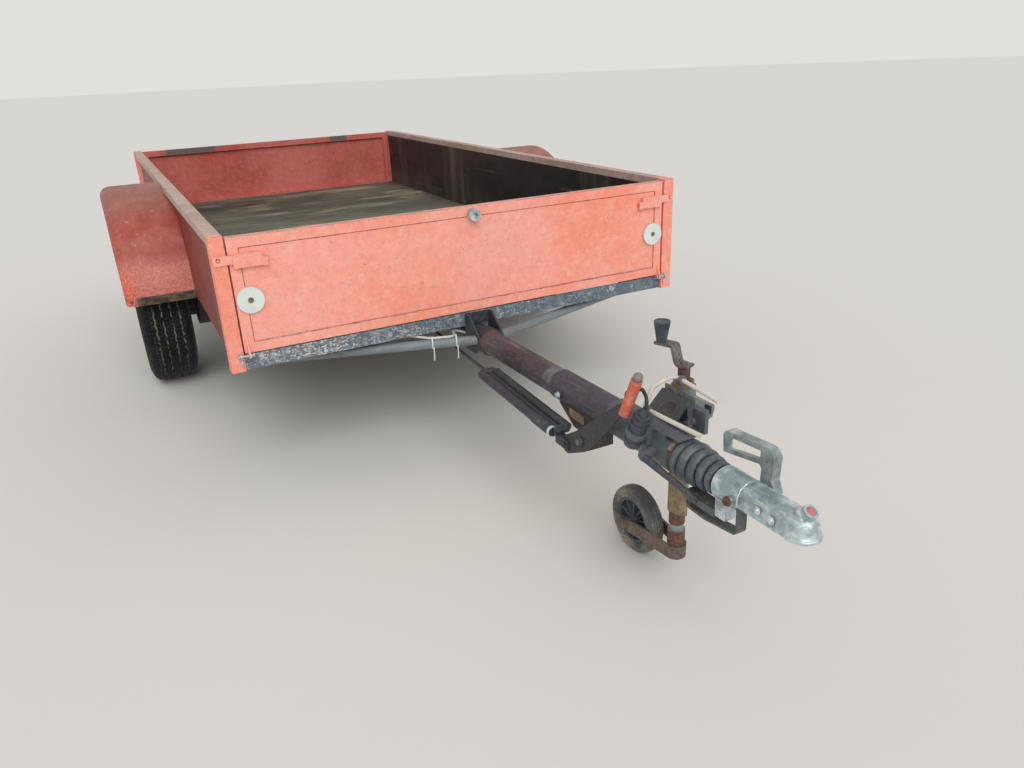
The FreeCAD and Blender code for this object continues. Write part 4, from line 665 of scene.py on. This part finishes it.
# Nodes, name of the finish, its paint and its dirt, then the rest of what worn_black takes.
WORN_BLACK = (
    ("rear_beam cross_members axle_beam swing_arms lamp_brackets", "chassis_paint",
     (46, 50, 56), (132, 124, 108), (4, 2, 2), 0.6, 0.4, 0.6),
    ("drawbar_bracket", "bracket_paint", (44, 50, 58), (128, 126, 118), (5, 1, 2), 0.5, 0.3, 0.5),
    ("handbrake_bracket handbrake_lever", "lever_paint", (50, 50, 52), (128, 116, 102), (2, 1, 2), 0.5, 0.45, 0.5),
    ("brake_linkage", "linkage_paint", (44, 50, 58), (118, 120, 118), (5, 7, 2), 0.4, 0.25, 0.45),
    ("v_braces", "brace_paint", (112, 120, 124), (176, 172, 160), (8, 1, 2), 0.6, 0.45, 0.5, 0.2),
    ("overrun_housing", "housing_paint", (92, 97, 102), (166, 162, 154), (6, 6, 2), 0.6, 0.2, 0.5, 0.2),
    ("housing_cover", "cover_paint", (66, 70, 75), (156, 152, 146), (6, 2, 2), 0.55, 0.08, 0.42, 0.2),
    ("jockey_clamp", "clamp_paint", (108, 116, 114), (170, 158, 130), (1, 6, 2), 0.6, 0.25, 0.5, 0.3),
    ("safety_bar", "bar_paint", (54, 60, 68), (140, 136, 128), (1, 1, 2), 0.6, 0.3, 0.45, 0.2),
    ("coupling_hoop", "hoop_paint", (84, 88, 92), (164, 154, 122), (4, 1, 2), 0.7, 0.3, 0.5, 0.3),
    ("jockey_rim plug", "black_plastic", (62, 68, 76), (136, 138, 138), (8, 8, 8), 0.4, 0.05, 0.45),
    ("hub_left hub_right", "hub_paint", (52, 52, 54), (120, 106, 88), (3, 9, 1), 0.4, 0.6, 0.6, 0.3),
    ("rim_left rim_right", "rim_paint", (150, 150, 148), (120, 108, 90), (3, 4, 1), 0.5, 0.3, 0.45, 0.4),
)


class TRAILER_OT_finishes(bpy.types.Operator):
    """Gives every piece of the frame its weathered finish"""
    bl_idname = "trailer.finishes"
    bl_label = "Finishes"

    def box(self, colours):
        """The load box and the fenders."""
        gate, faded = tuple(colours.gate_paint), tuple(colours.gate_faded)
        dress("front_gate front_latches", painted_steel(
            "gate_paint", gate, faded, tone(110, 58, 48), STILL, 0.95, 0.08, 0.05,
            rubbed_above=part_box("front_gate")[1].z))
        dress("corner_posts latch_studs", painted_steel(
            "post_paint", gate, faded, tone(104, 60, 52), (3, 1, 2), 1.7, 0.4, 0.12))
        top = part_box("rear_gate")[1].z
        back = painted_steel(
            "rear_gate_paint", tone(184, 80, 68), tone(204, 106, 96), tone(66, 50, 48), (9, 4, 2), 1.8, 0.7, 0.25,
            rubbed_above=top, bloom=tone(222, 138, 128))
        # Two bare patches of the rim, each by its middle and its half width.
        across = back.axis(0) + back.noise(34, 4, shift=STILL) * 0.04 - 0.02
        long, short = (back.band(abs(across - middle), half, half - 0.003)
                       for middle, half in ((-0.475, 0.139), (0.415, 0.054)))
        back.lay(long.most(short) * back.band(back.axis(2), top - 0.03, top - 0.028) * 0.85, tone(84, 88, 94))
        dress("rear_gate rear_latches", back)
        dress("wall_caps", painted_steel(
            "cap_paint", tone(168, 140, 130), tone(190, 166, 156), tone(104, 80, 72), (1, 7, 2), 0.9, 0.6, 0.2, 0.6))
        dress("fender_left fender_right", fender_paint(tuple(colours.fender_paint)))
        # The walls' outer red and its faded tone are darkened as painted shade.
        dress("side_wall_left side_wall_right side_rails", wall_paint_and_shade(
            tuple(colours.wall_paint_and_shade), tone(138, 60, 50), tone(58, 32, 28), middle_of("side_wall_left").x))
        dress("floor_panel", weathered_ply())
        dress("front_beam", worn_black(
            "beam_paint", tone(76, 90, 104), tone(220, 218, 204), spatter=0.92, heavy=True))
        dress("gate_knob hinge_pins", galvanised("knob_zinc", (4, 1, 6)))
        dress("reflectors", plastic("reflector_white", tone(222, 228, 226), tone(196, 202, 198), roughness=0.35))

    def coupling(self):
        """The drawbar with its coupling, hand brake, lead and jockey wheel."""
        dress("drawbar_tube", drawbar_steel())
        dress("coupling_head draw_shaft coupling_button", galvanised("zinc"))
        lever = galvanised("lever_zinc", (4, 4, 1))
        lever.lay(lever.clouds(0.36, 0.6, 12, 6, shift=STILL) * 0.55, tone(112, 118, 112))
        dress("coupling_lever", lever)
        dress("gaiter", bellows_rubber())
        dress("bail_handle", painted_steel(
            "bail_paint", tone(206, 206, 192), tone(222, 222, 210), tone(110, 96, 80), (4, 4, 4), 0.5, 0.3, 0.3))
        grip = painted_steel(
            "grip_paint", tone(208, 80, 46), tone(222, 108, 72), tone(126, 116, 112), (2, 8, 4), 0.4, 0.9, 0.2)
        # The grip leans back from its foot, and its paint is gone from a length on.
        foot_ahead, foot_up, lean, length = 0.932, 0.497, math.radians(24.5), 0.1035
        rise = (FRONT - foot_ahead - grip.axis(1)) * math.sin(lean) + (grip.axis(2) - foot_up) * math.cos(lean)
        worn = grip.clouds(0.57, 0.6, 46, 4, (1, 1, 0.5), STILL) * 0.8
        grip.lay(worn.most(grip.band(rise, length, length + 0.001)), tone(132, 124, 120))
        dress("handbrake_grip", grip)
        dress("jockey_tube", rusty_steel("jockey_tube_rust", tone(122, 103, 80), tone(162, 143, 114), metal=0.1))
        leg = rusty_steel("leg_rust", tone(104, 74, 64), tone(142, 104, 86), 0.8, (3, 3, 3))
        ring_up, half = 0.159, 0.009
        leg.lay(leg.band(abs(leg.axis(2) - ring_up), half + 0.0005, half - 0.0005), tone(146, 150, 154))
        dress("jockey_leg", leg)
        dress("jockey_fork", rusty_steel("fork_rust", tone(84, 82, 82), tone(124, 110, 98), 0.4, (7, 3, 3), 0.3))
        crank = rusty_steel("crank_rust", tone(104, 102, 100), tone(140, 136, 130), 0.3, (1, 3, 3), 0.5)
        foot = crank.band(crank.axis(2), 0.584, 0.578) * (crank.clouds(0.3, 0.6, 70, 6, shift=STILL) * 0.5 + 0.5)
        crank.lay(foot.most(crank.edges(0.003) * 0.6), tone(104, 72, 56))
        dress("jockey_crank", crank)
        sheath = plastic("lead_sheath", tone(206, 208, 200), tone(168, 166, 154))
        sheath.lay(sheath.band(sheath.axis(1), FRONT - 0.3, FRONT - 0.4), tone(44, 46, 50))  # black at the plug
        dress("lead", sheath)

    def execute(self, context):
        self.box(context.scene.trailer_colours)
        self.coupling()
        for names, name, paint, dirt, *settings in WORN_BLACK:
            dress(names, worn_black(name, tone(*paint), tone(*dirt), *settings))
        return {"FINISHED"}


class TRAILER_OT_tyres(bpy.types.Operator):
    """Road tyres with a blocked tread, and the jockey wheel's ribbed tyre"""
    bl_idname = "trailer.tyres"
    bl_label = "Tyres"

    def execute(self, context):
        half = [(311.5, 14), (304.5, 15), (304.5, 19), (311.2, 20), (310.8, 44), (303.5, 45), (303.5, 49), (309.8, 50),
                (307.6, 72), (303, 78.5), (295, 83), (282, 88.6), (270, 91.6), (268, 93.6), (262, 93.9), (260, 93.2),
                (252, 94.6), (243, 95), (232, 94), (220, 90.6), (210, 86.4), (207, 87.6), (203, 85.6), (202, 81.6),
                (197, 76), (192.6, 68.5), (192, 65.5), (183.4, 65.5), (183.4, 56), (195, 66), (215, 76), (241, 82),
                (265, 79.6), (282, 72), (292.6, 60)]
        steps = 112
        tyre = turned("tyre", half + [(r, -h) for r, h in reversed(half)] + half[:1], steps)
        # The ribs' edges zigzag, their faces stand up as blocks, and small slots are cut round the shoulders.
        shape(tyre)
        pick("VERT", lambda co, n: co.xy.length > 0.302 and abs(co.z) < 0.0505 and place_round(co, steps) % 2)
        bpy.ops.transform.translate(value=(0, 0, 0.0036))
        pick("FACE", lambda m, n: m.xy.length > 0.3075 and n.xy.length > 0.9)
        bpy.ops.mesh.inset(thickness=0.0014, depth=0.0032, use_individual=True)
        pick("FACE", lambda m, n: 0.2985 < m.xy.length < 0.301 and abs(m.z) > 0.078
             and place_round(m, steps * 2) % 4 == 1)
        bpy.ops.mesh.inset(thickness=0.0016, depth=-0.0022, use_individual=True)
        for side in ("left", "right"):
            centre = middle_of("tyre_" + side)
            alone(tyre)
            bpy.ops.object.duplicate()
            piece = stand(context.object, centre, (1, 0, 0))
            piece.name = "road_tyre_" + side
            done(piece, "wheel_" + side, tread_rubber("tread_" + side, centre, 0.3085, 0.3125), "tyre_rubber",
                 "tyre_" + side, angle=30)
        bpy.data.objects.remove(tyre)

        half = [(92, 0), (92, 2.4), (90, 3.2), (90, 4.4), (91.9, 5.2), (91.5, 9.4), (89.5, 10.2), (89.3, 11.4),
                (90.8, 12.2), (89, 16), (86.9, 16.8), (86.2, 17.8), (87, 18.8), (83.5, 21.6), (79, 23.4), (74.5, 24),
                (72.5, 22.6), (70.5, 23.6), (68.5, 24), (64, 20.5), (62.1, 18)]
        outline = [(r, -h) for r, h in reversed(half[1:])] + half + [(62.1, -18)]
        tyre = stand(turned("jockey_road_tyre", outline, 72), middle_of("jockey_tyre"), (1, 0, 0))
        done(tyre, "jockey_wheel", rubber("jockey_rubber", tone(74, 76, 78), tone(168, 162, 150), 0.85, (5, 1, 1)),
             "tyre_rubber", "jockey_tyre", angle=30)
        return {"FINISHED"}


class TRAILER_OT_bolts(bpy.types.Operator):
    """Wheel bolts, bolt heads on the coupling and brake, and the reflectors' screws"""
    bl_idname = "trailer.bolts"
    bl_label = "Bolts"

    def execute(self, context):
        zinc = galvanised("bolt_zinc", (2, 6, 1))
        rusted = rusty_steel("bolt_rust", tone(96, 74, 62), tone(142, 112, 88), 0.6, (1, 8, 3))
        stem_outline = [(0, 30), (2.4, 30), (2.9, 29), (2.9, 22), (3.6, 21), (3.6, 14), (5.6, 8), (6, 0), (0, 0)]
        circle, count = 0.056, 5
        for side, sign in (("left", 1), ("right", -1)):
            centre = middle_of("rim_" + side)
            centre.x += sign * (HALF_TRACK - abs(centre.x))
            places = []
            for number in range(count):
                turn = math.tau * (number + 0.25) / count
                spot = centre + Vector((0, circle * math.cos(turn), circle * math.sin(turn)))
                places.append((spot, (sign, 0, 0), 17 * number))
            done(copies(bolt(19, 9, 12.5), "wheel_bolts_" + side, places), "wheel_" + side, rusted, "galvanised")
            stem = turned("valve_stem_" + side, stem_outline, 20)
            stem = stand(stem, centre + Vector((sign * 0.02, 0.145, 0.04)), (sign, -0.3, 0))
            black = rubber("valve_rubber_" + side, tone(30, 30, 32), tone(88, 84, 78))
            done(stem, "wheel_" + side, black, "tyre_rubber")

        outline = [(0, 3.6), (3.4, 3.4), (5.2, 2.4), (5.8, 1.0), (8.8, 0.9), (9.4, 0.5), (9.4, -1), (0, -1)]
        places = [(at(-34, 1289, 421.7), NEAR_SIDE, 0), (at(-34, 1325, 418.7), NEAR_SIDE, 0)]
        done(copies(turned("rivet", outline, 24), "coupling_rivets", places), "root", zinc, "galvanised")
        pivot = worn_black("pivot_paint", tone(96, 104, 104), tone(156, 156, 150), (2, 3, 1), 0.5, 0.3, 0.45, 0.3)
        for name, size, where, turn, finish in (
                ("coupling_bolt", (15, 6, 10.5), at(-44, 1222, 410.7), 11, rusted),
                ("brake_pivot_bolt", (15, 5, 10), at(-95, 760, 356), 20, pivot),
                ("sleeve_bolt", (13, 6, 8.5), at(-49.5, 585, 406.1), 8, zinc),
                ("saddle_bolt", (17, 7, 11), at(30, 1011, 462), 15, zinc)):
            done(copies(bolt(*size), name, [(where, NEAR_SIDE, turn)]), "root", finish, "galvanised")
        outline = [(0, 1.2), (1.6, 1.4), (2.2, 2.2), (4.6, 1.9), (5.4, 0.8), (8.2, 0.6), (8.6, 0), (0, 0)]
        places = [(at(x, 2.3, 635), AHEAD, 0) for x in (-695, 695)]
        done(copies(turned("screw", outline, 24), "reflector_screws", places), "front_gate",
             rusty_steel("screw_rust", tone(70, 66, 60), tone(176, 150, 96), 0.5, (4, 4, 1)), "galvanised")
        return {"FINISHED"}


class TRAILER_OT_box_trim(bpy.types.Operator):
    """Seams of the front gate and the lenses of the rear lamps"""
    bl_idname = "trailer.box_trim"
    bl_label = "Box trim"

    def seam(self, start, end, radius, seed):
        """An uneven bead of paint and dirt along a corner; round the gate's panel it is also painted shade."""
        length = (end - start).length
        bead = begin("bead", bpy.ops.mesh.primitive_cylinder_add, vertices=8, radius=radius / 1000, depth=length)
        shape(bead)
        pick("EDGE", lambda m, way: abs(way.z) > 0.9)
        bpy.ops.mesh.subdivide(number_cuts=int(length / 0.03))
        bpy.ops.mesh.select_all(action="SELECT")
        bpy.ops.transform.vertex_random(offset=radius * 0.0003, uniform=1.0, seed=seed)
        return stand(bead, (start + end) / 2, end - start)

    def gate_seams(self):
        """Darker beads round the front gate's panel, partly paint and partly painted shade of the crevices there, and
        sealant along its foot.
        """
        x, low, high, behind = 704, 512.6, 783.4, 6.2
        foot_left, foot_right, top_left, top_right = (at(side, -behind, z) for z in (low, high) for side in (-x, x))
        seams = [self.seam(foot_left, top_left, 1.3, 1), self.seam(foot_right, top_right, 1.3, 2),
                 self.seam(top_left, top_right, 1.5, 3)]
        # The seams' darker red is partly paint and partly painted shade of the crevices round the panel.
        paint = painted_steel(
            "seam_paint_and_shade", tone(150, 62, 48), tone(176, 78, 60), tone(60, 34, 30), (2, 5, 1), 0.5, 0.2, 0.3)
        done(joined("gate_seams", seams), "front_gate", paint, "red_paint")
        foot = self.seam(at(-x, -6.0, low - 0.6), at(x, -6.0, low - 0.6), 2.6, 4)
        sealant = painted_steel(
            "sealant", tone(164, 108, 112), tone(188, 128, 126), tone(96, 66, 70), (7, 5, 1), 0.6, 0.3, 0.3)
        done(foot, "front_gate", sealant, "red_paint")

    def lens(self, width):
        """A lens with a rounded front of small ribs."""
        lens = brick("lens", (width, 23, 74), (0, -11.5, 0))
        shape(lens)
        pick("EDGE", lambda m, way: m.y > -0.0005)
        bpy.ops.mesh.bevel(offset=0.004, segments=3)
        pick("FACE", lambda m, n: n.y > 0.99)
        bpy.ops.mesh.inset(thickness=0.004)
        bpy.ops.mesh.subdivide(number_cuts=6)
        pick("FACE", lambda m, n: n.y > 0.99 and abs(m.z) < 0.033 and abs(m.x) < width / 2000 - 0.008)
        bpy.ops.mesh.inset(thickness=0.0012, depth=-0.0011, use_individual=True)
        return lens

    def execute(self, context):
        self.gate_seams()
        out, behind, up = 575, 2909, 386
        base = soften(brick("lamp_base", (150, 34, 80), (0, -38, 0)), 4, 3)
        housings = copies(base, "lamp_housings", [(at(side * out, -behind, up), UP, 0) for side in (-1, 1)])
        done(housings, "root", plastic("lamp_base", tone(30, 31, 33), tone(66, 66, 64), (1, 1, 4)), "black_plastic",
             "rear_lamps")
        red = plastic("lens_red", tone(150, 20, 18), tone(118, 24, 22), roughness=0.2)
        amber = plastic("lens_amber", tone(214, 112, 26), tone(186, 96, 34), roughness=0.2)
        for name, width, inward, finish, slot in (
                ("lamp_lenses_red", 94, 26, red, "lamp_red"), ("lamp_lenses_amber", 48, -47, amber, "orange_plastic")):
            lenses = [stand(self.lens(width), at(side * (out - inward), -behind, up)) for side in (-1, 1)]
            done(joined(name, lenses), "root", finish, slot)
        return {"FINISHED"}


class TRAILER_OT_coupling_trim(bpy.types.Operator):
    """Clamps of the bellows, the button's disc, bare plates, weld beads, the linkage's boot and the crank's knob"""
    bl_idname = "trailer.coupling_trim"
    bl_label = "Coupling trim"

    def clamps(self):
        """The bellows' two clamps and the disc on the coupling's button."""
        strap = stand(turned("strap", hoop(38.05, 39.8, 6, 0.4), 56), at(0, 1030, AXIS_UP), AHEAD)
        angle, reach = math.radians(-38), 43.5
        outward = Vector((math.cos(angle), 0, -math.sin(angle)))
        block = stand(soften(brick("block", (12, 9, 34)), 1.5),
                      at(reach * math.sin(angle), 1033, AXIS_UP + reach * math.cos(angle)), outward)
        done(joined("rear_clamp", [strap, block]), "root", rusty_steel(
            "clamp_steel", tone(122, 104, 102), tone(166, 142, 136), 0.4, (3, 2, 8), 0.3), "galvanised")
        front = stand(turned("front_clamp", hoop(29.1, 30.8, 5, 0.5), 48), at(0, 1158.5, AXIS_UP), AHEAD)
        done(front, "root", galvanised("clamp_zinc", (3, 1, 5)), "galvanised")

        lean = math.radians(28)
        axis = Vector((0, -math.sin(lean), math.cos(lean)))
        disc = turned("button_disc", [(0, 1.5), (6, 1.3), (8.6, 0.7), (9.5, 0), (9.5, -0.4), (0, -0.4)], 36)
        done(stand(disc, at(0, 1376.7, 444) + axis * 0.0182, axis), "root",
             plastic("button_disc", tone(196, 104, 108), tone(218, 168, 164), (1, 3, 1), 0.5), "button_red")

    def plates(self):
        """The bare label on the housing's cover and the bare tag on the brake's bracket."""
        label = brick("bare_label", (50, 44, 0.9))
        shape(label)
        pick("EDGE", lambda m, way: abs(way.z) > 0.9 and m.y > 0)
        bpy.ops.mesh.bevel(offset=0.021, segments=8)
        pick("EDGE", lambda m, way: abs(way.z) > 0.9 and m.y < -0.02)
        bpy.ops.mesh.bevel(offset=0.003, segments=3)
        pick("FACE", lambda m, n: n.z > 0.9)
        bpy.ops.mesh.inset(thickness=0.0018, depth=-0.0003)
        tilt = 0.7071  # sine and cosine of the cover's 45 degrees
        settle(label, Matrix.Translation(at(10.4, 963, 496)) @ Matrix(
            ((0, tilt, -tilt), (-1, 0, 0), (0, tilt, tilt))).to_4x4())
        film = plastic("label_film", tone(40, 40, 42), tone(96, 90, 88), (4, 9, 1), 0.4)
        film.lay(film.edges(0.0016) * 0.85, tone(158, 148, 142))
        done(label, "root", film, "black_plastic")

        tag = brick("bare_tag", (70, 24, 1.2))
        shape(tag)
        pick("EDGE", lambda m, way: abs(way.z) > 0.9)
        bpy.ops.mesh.bevel(offset=0.002, segments=3)
        pick("FACE", lambda m, n: n.z > 0.9)
        bpy.ops.mesh.inset(thickness=0.0016, depth=-0.0004)
        pins = [stand(turned("pin", [(0, 1.6), (1.6, 1.3), (2.2, 0.4), (2.2, 0), (0, 0)], 16), Vector((x, 0, 0.0004)))
                for x in (-0.031, 0.031)]
        tag = joined("bare_tag", [tag] + pins)
        settle(tag, Matrix.Translation(at(-36.6, 655, 368)) @ Matrix(((0, 0, -1), (-1, 0, 0), (0, 1, 0))).to_4x4())
        done(tag, "root", rusty_steel("tag_metal", tone(128, 112, 92), tone(176, 158, 128), 0.3, (6, 1, 1), 0.3),
             "galvanised")

    def welds(self):
        """Beads of weld round the drawbar tube and the coupling's collar."""
        tube = Vector((0, -1, TUBE_RISE))
        sleeve = worn_black("weld_paint", tone(92, 100, 112), tone(160, 158, 150), (2, 4, 4), 0.5, 0.4)
        bracket = rusty_steel("weld_rust", tone(84, 66, 58), tone(114, 88, 74), 0.9, (2, 4, 6))
        for name, ahead, up, way, radius, thick, finish, slot in (
                ("sleeve_weld", 522.5, TUBE_UP + 522.5 * TUBE_RISE, tube, 39.4, 2.4, sleeve, "black_paint"),
                ("bracket_weld", 95.5, TUBE_UP + 95.5 * TUBE_RISE, tube, 39.4, 2.6, bracket, "black_paint"),
                ("collar_weld", 1238.5, AXIS_UP, AHEAD, 35.5, 2.2, galvanised("weld_zinc", (6, 4, 6)), "galvanised")):
            ring = begin(name, bpy.ops.mesh.primitive_torus_add, major_radius=radius / 1000, minor_radius=thick / 1000,
                         major_segments=72, minor_segments=8)
            shape(ring, "SELECT")
            bpy.ops.transform.vertex_random(offset=0.0007, uniform=1.0, normal=0.5, seed=5)
            done(stand(ring, at(0, ahead, up), way), "root", finish, slot, angle=70)

    def execute(self, context):
        self.clamps()
        self.plates()
        self.welds()
        # The linkage's boot and its cuff, along the spring tube.
        low, high = at(-106, 556, 343.7), at(-106, 640, 340.2)
        length, count, inner, valley, crest = 84, 8, 13.05, 13.5, 14.7
        outline = [(inner, 0)]
        for number in range(count):
            outline += [(radius, (number + share) * length / count)
                        for radius, share in ((valley, 0.08), (crest, 0.3), (crest, 0.7), (valley, 0.92))]
        boot = turned("linkage_boot", outline + [(inner, length), (inner, 0)], 32)
        done(stand(boot, low, high - low), "root", worn_black(
            "boot_paint", tone(52, 58, 66), tone(140, 140, 136), (3, 6, 1), 0.5, 0.15), "black_paint")
        cuff = turned("linkage_cuff", hoop(inner, 15, 10, 0.6, 1), 32)
        done(stand(cuff, at(-106, 641, 340.2), high - low), "root", galvanised("cuff_zinc", (6, 2, 2)), "galvanised")

        steps = 60
        knob = turned("ribbed_knob", [(0, 0), (10.6, 0), (11.2, 1), (12, 6), (18.2, 42), (18.9, 45), (18.9, 49),
                                      (18.2, 50), (15, 50), (13.5, 48.6), (0, 48.6)], steps)
        shape(knob)
        pick("VERT", lambda co, n: 0.0005 < co.z < 0.0435 and place_round(co, steps) % 5 in (0, 1))
        bpy.ops.transform.resize(value=(0.9, 0.9, 1), center_override=(0, 0, 0))
        foot = middle_of("crank_knob")
        foot.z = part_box("crank_knob")[0].z
        done(stand(knob, foot), "root", plastic(
            "knob_plastic", tone(38, 46, 54), tone(86, 98, 108), (2, 1, 3), 0.4), "black_plastic", "crank_knob")
        return {"FINISHED"}


class TRAILER_OT_lead_ties(bpy.types.Operator):
    """White ties that hold the lead on the brace, with their loose tails"""
    bl_idname = "trailer.lead_ties"
    bl_label = "Lead ties"

    def execute(self, context):
        white = plastic("tie_nylon", tone(214, 220, 216), tone(180, 184, 176), (2, 2, 2), 0.4)
        slope = 0.3331  # of the brace, seen from above
        for number, x in enumerate((103, 175)):
            ahead = 65 - (x - 44.6) * slope
            middle = at(-x, ahead, 408.4)
            loop = turned("loop", [(16.6, -2), (17.8, -2.1), (17.8, 2.1), (16.6, 2), (16.6, -2)], 48)
            stand(loop, middle, Vector((-1, slope, 0)).normalized())
            shape(loop)
            pick("VERT", lambda co, n: co.z > 0.41)
            bpy.ops.transform.resize(value=(1, 1, 1.24), center_override=middle)
            head = stand(soften(brick("head", (5.4, 6, 5)), 0.8), at(-x - 1, ahead + 13, 395))
            tail = brick("tail", (1.2, 4, 6))
            shape(tail)
            for step in ((0.8, 0, -8), (0.4, 0.5, -9), (-0.5, 0.5, -9), (-1.2, 0, -8)):
                pick("FACE", lambda m, n: n.z < -0.7)
                bpy.ops.mesh.extrude_region_move(TRANSFORM_OT_translate={"value": [s / 1000 for s in step]})
                bpy.ops.mesh.normals_make_consistent(inside=False)
            stand(tail, at(-x - 1, ahead + 13, 391), turn=20 + 15 * number)
            done(joined(f"lead_tie_{number + 1}", [loop, head, tail]), "root", white, "white_plastic")
        return {"FINISHED"}


STEPS = (TRAILER_OT_stage, TRAILER_OT_finishes, TRAILER_OT_tyres, TRAILER_OT_bolts, TRAILER_OT_box_trim,
         TRAILER_OT_coupling_trim, TRAILER_OT_lead_ties)


class TRAILER_PT_panel(bpy.types.Panel):
    """The trailer's steps and settings"""
    bl_idname = "TRAILER_PT_panel"
    bl_label = "Trailer"
    bl_space_type = "VIEW_3D"
    bl_region_type = "UI"
    bl_category = "Trailer"

    def draw(self, context):
        for settings in (context.scene.trailer_colours, context.scene.trailer_stage):
            for key in settings.__annotations__:
                self.layout.prop(settings, key)
        for step in STEPS:
            self.layout.operator(step.bl_idname)


CLASSES = (TrailerColours, StageSizes, *STEPS, TRAILER_PT_panel)


def register():
    for cls in CLASSES:
        bpy.utils.register_class(cls)
    bpy.types.Scene.trailer_colours = bpy.props.PointerProperty(type=TrailerColours)
    bpy.types.Scene.trailer_stage = bpy.props.PointerProperty(type=StageSizes)


def unregister():
    del bpy.types.Scene.trailer_stage
    del bpy.types.Scene.trailer_colours
    for cls in reversed(CLASSES):
        bpy.utils.unregister_class(cls)


def main():
    register()
    for step in STEPS:
        group, name = step.bl_idname.split(".")
        getattr(getattr(bpy.ops, group), name)()


if __name__ == "__main__":
    main()
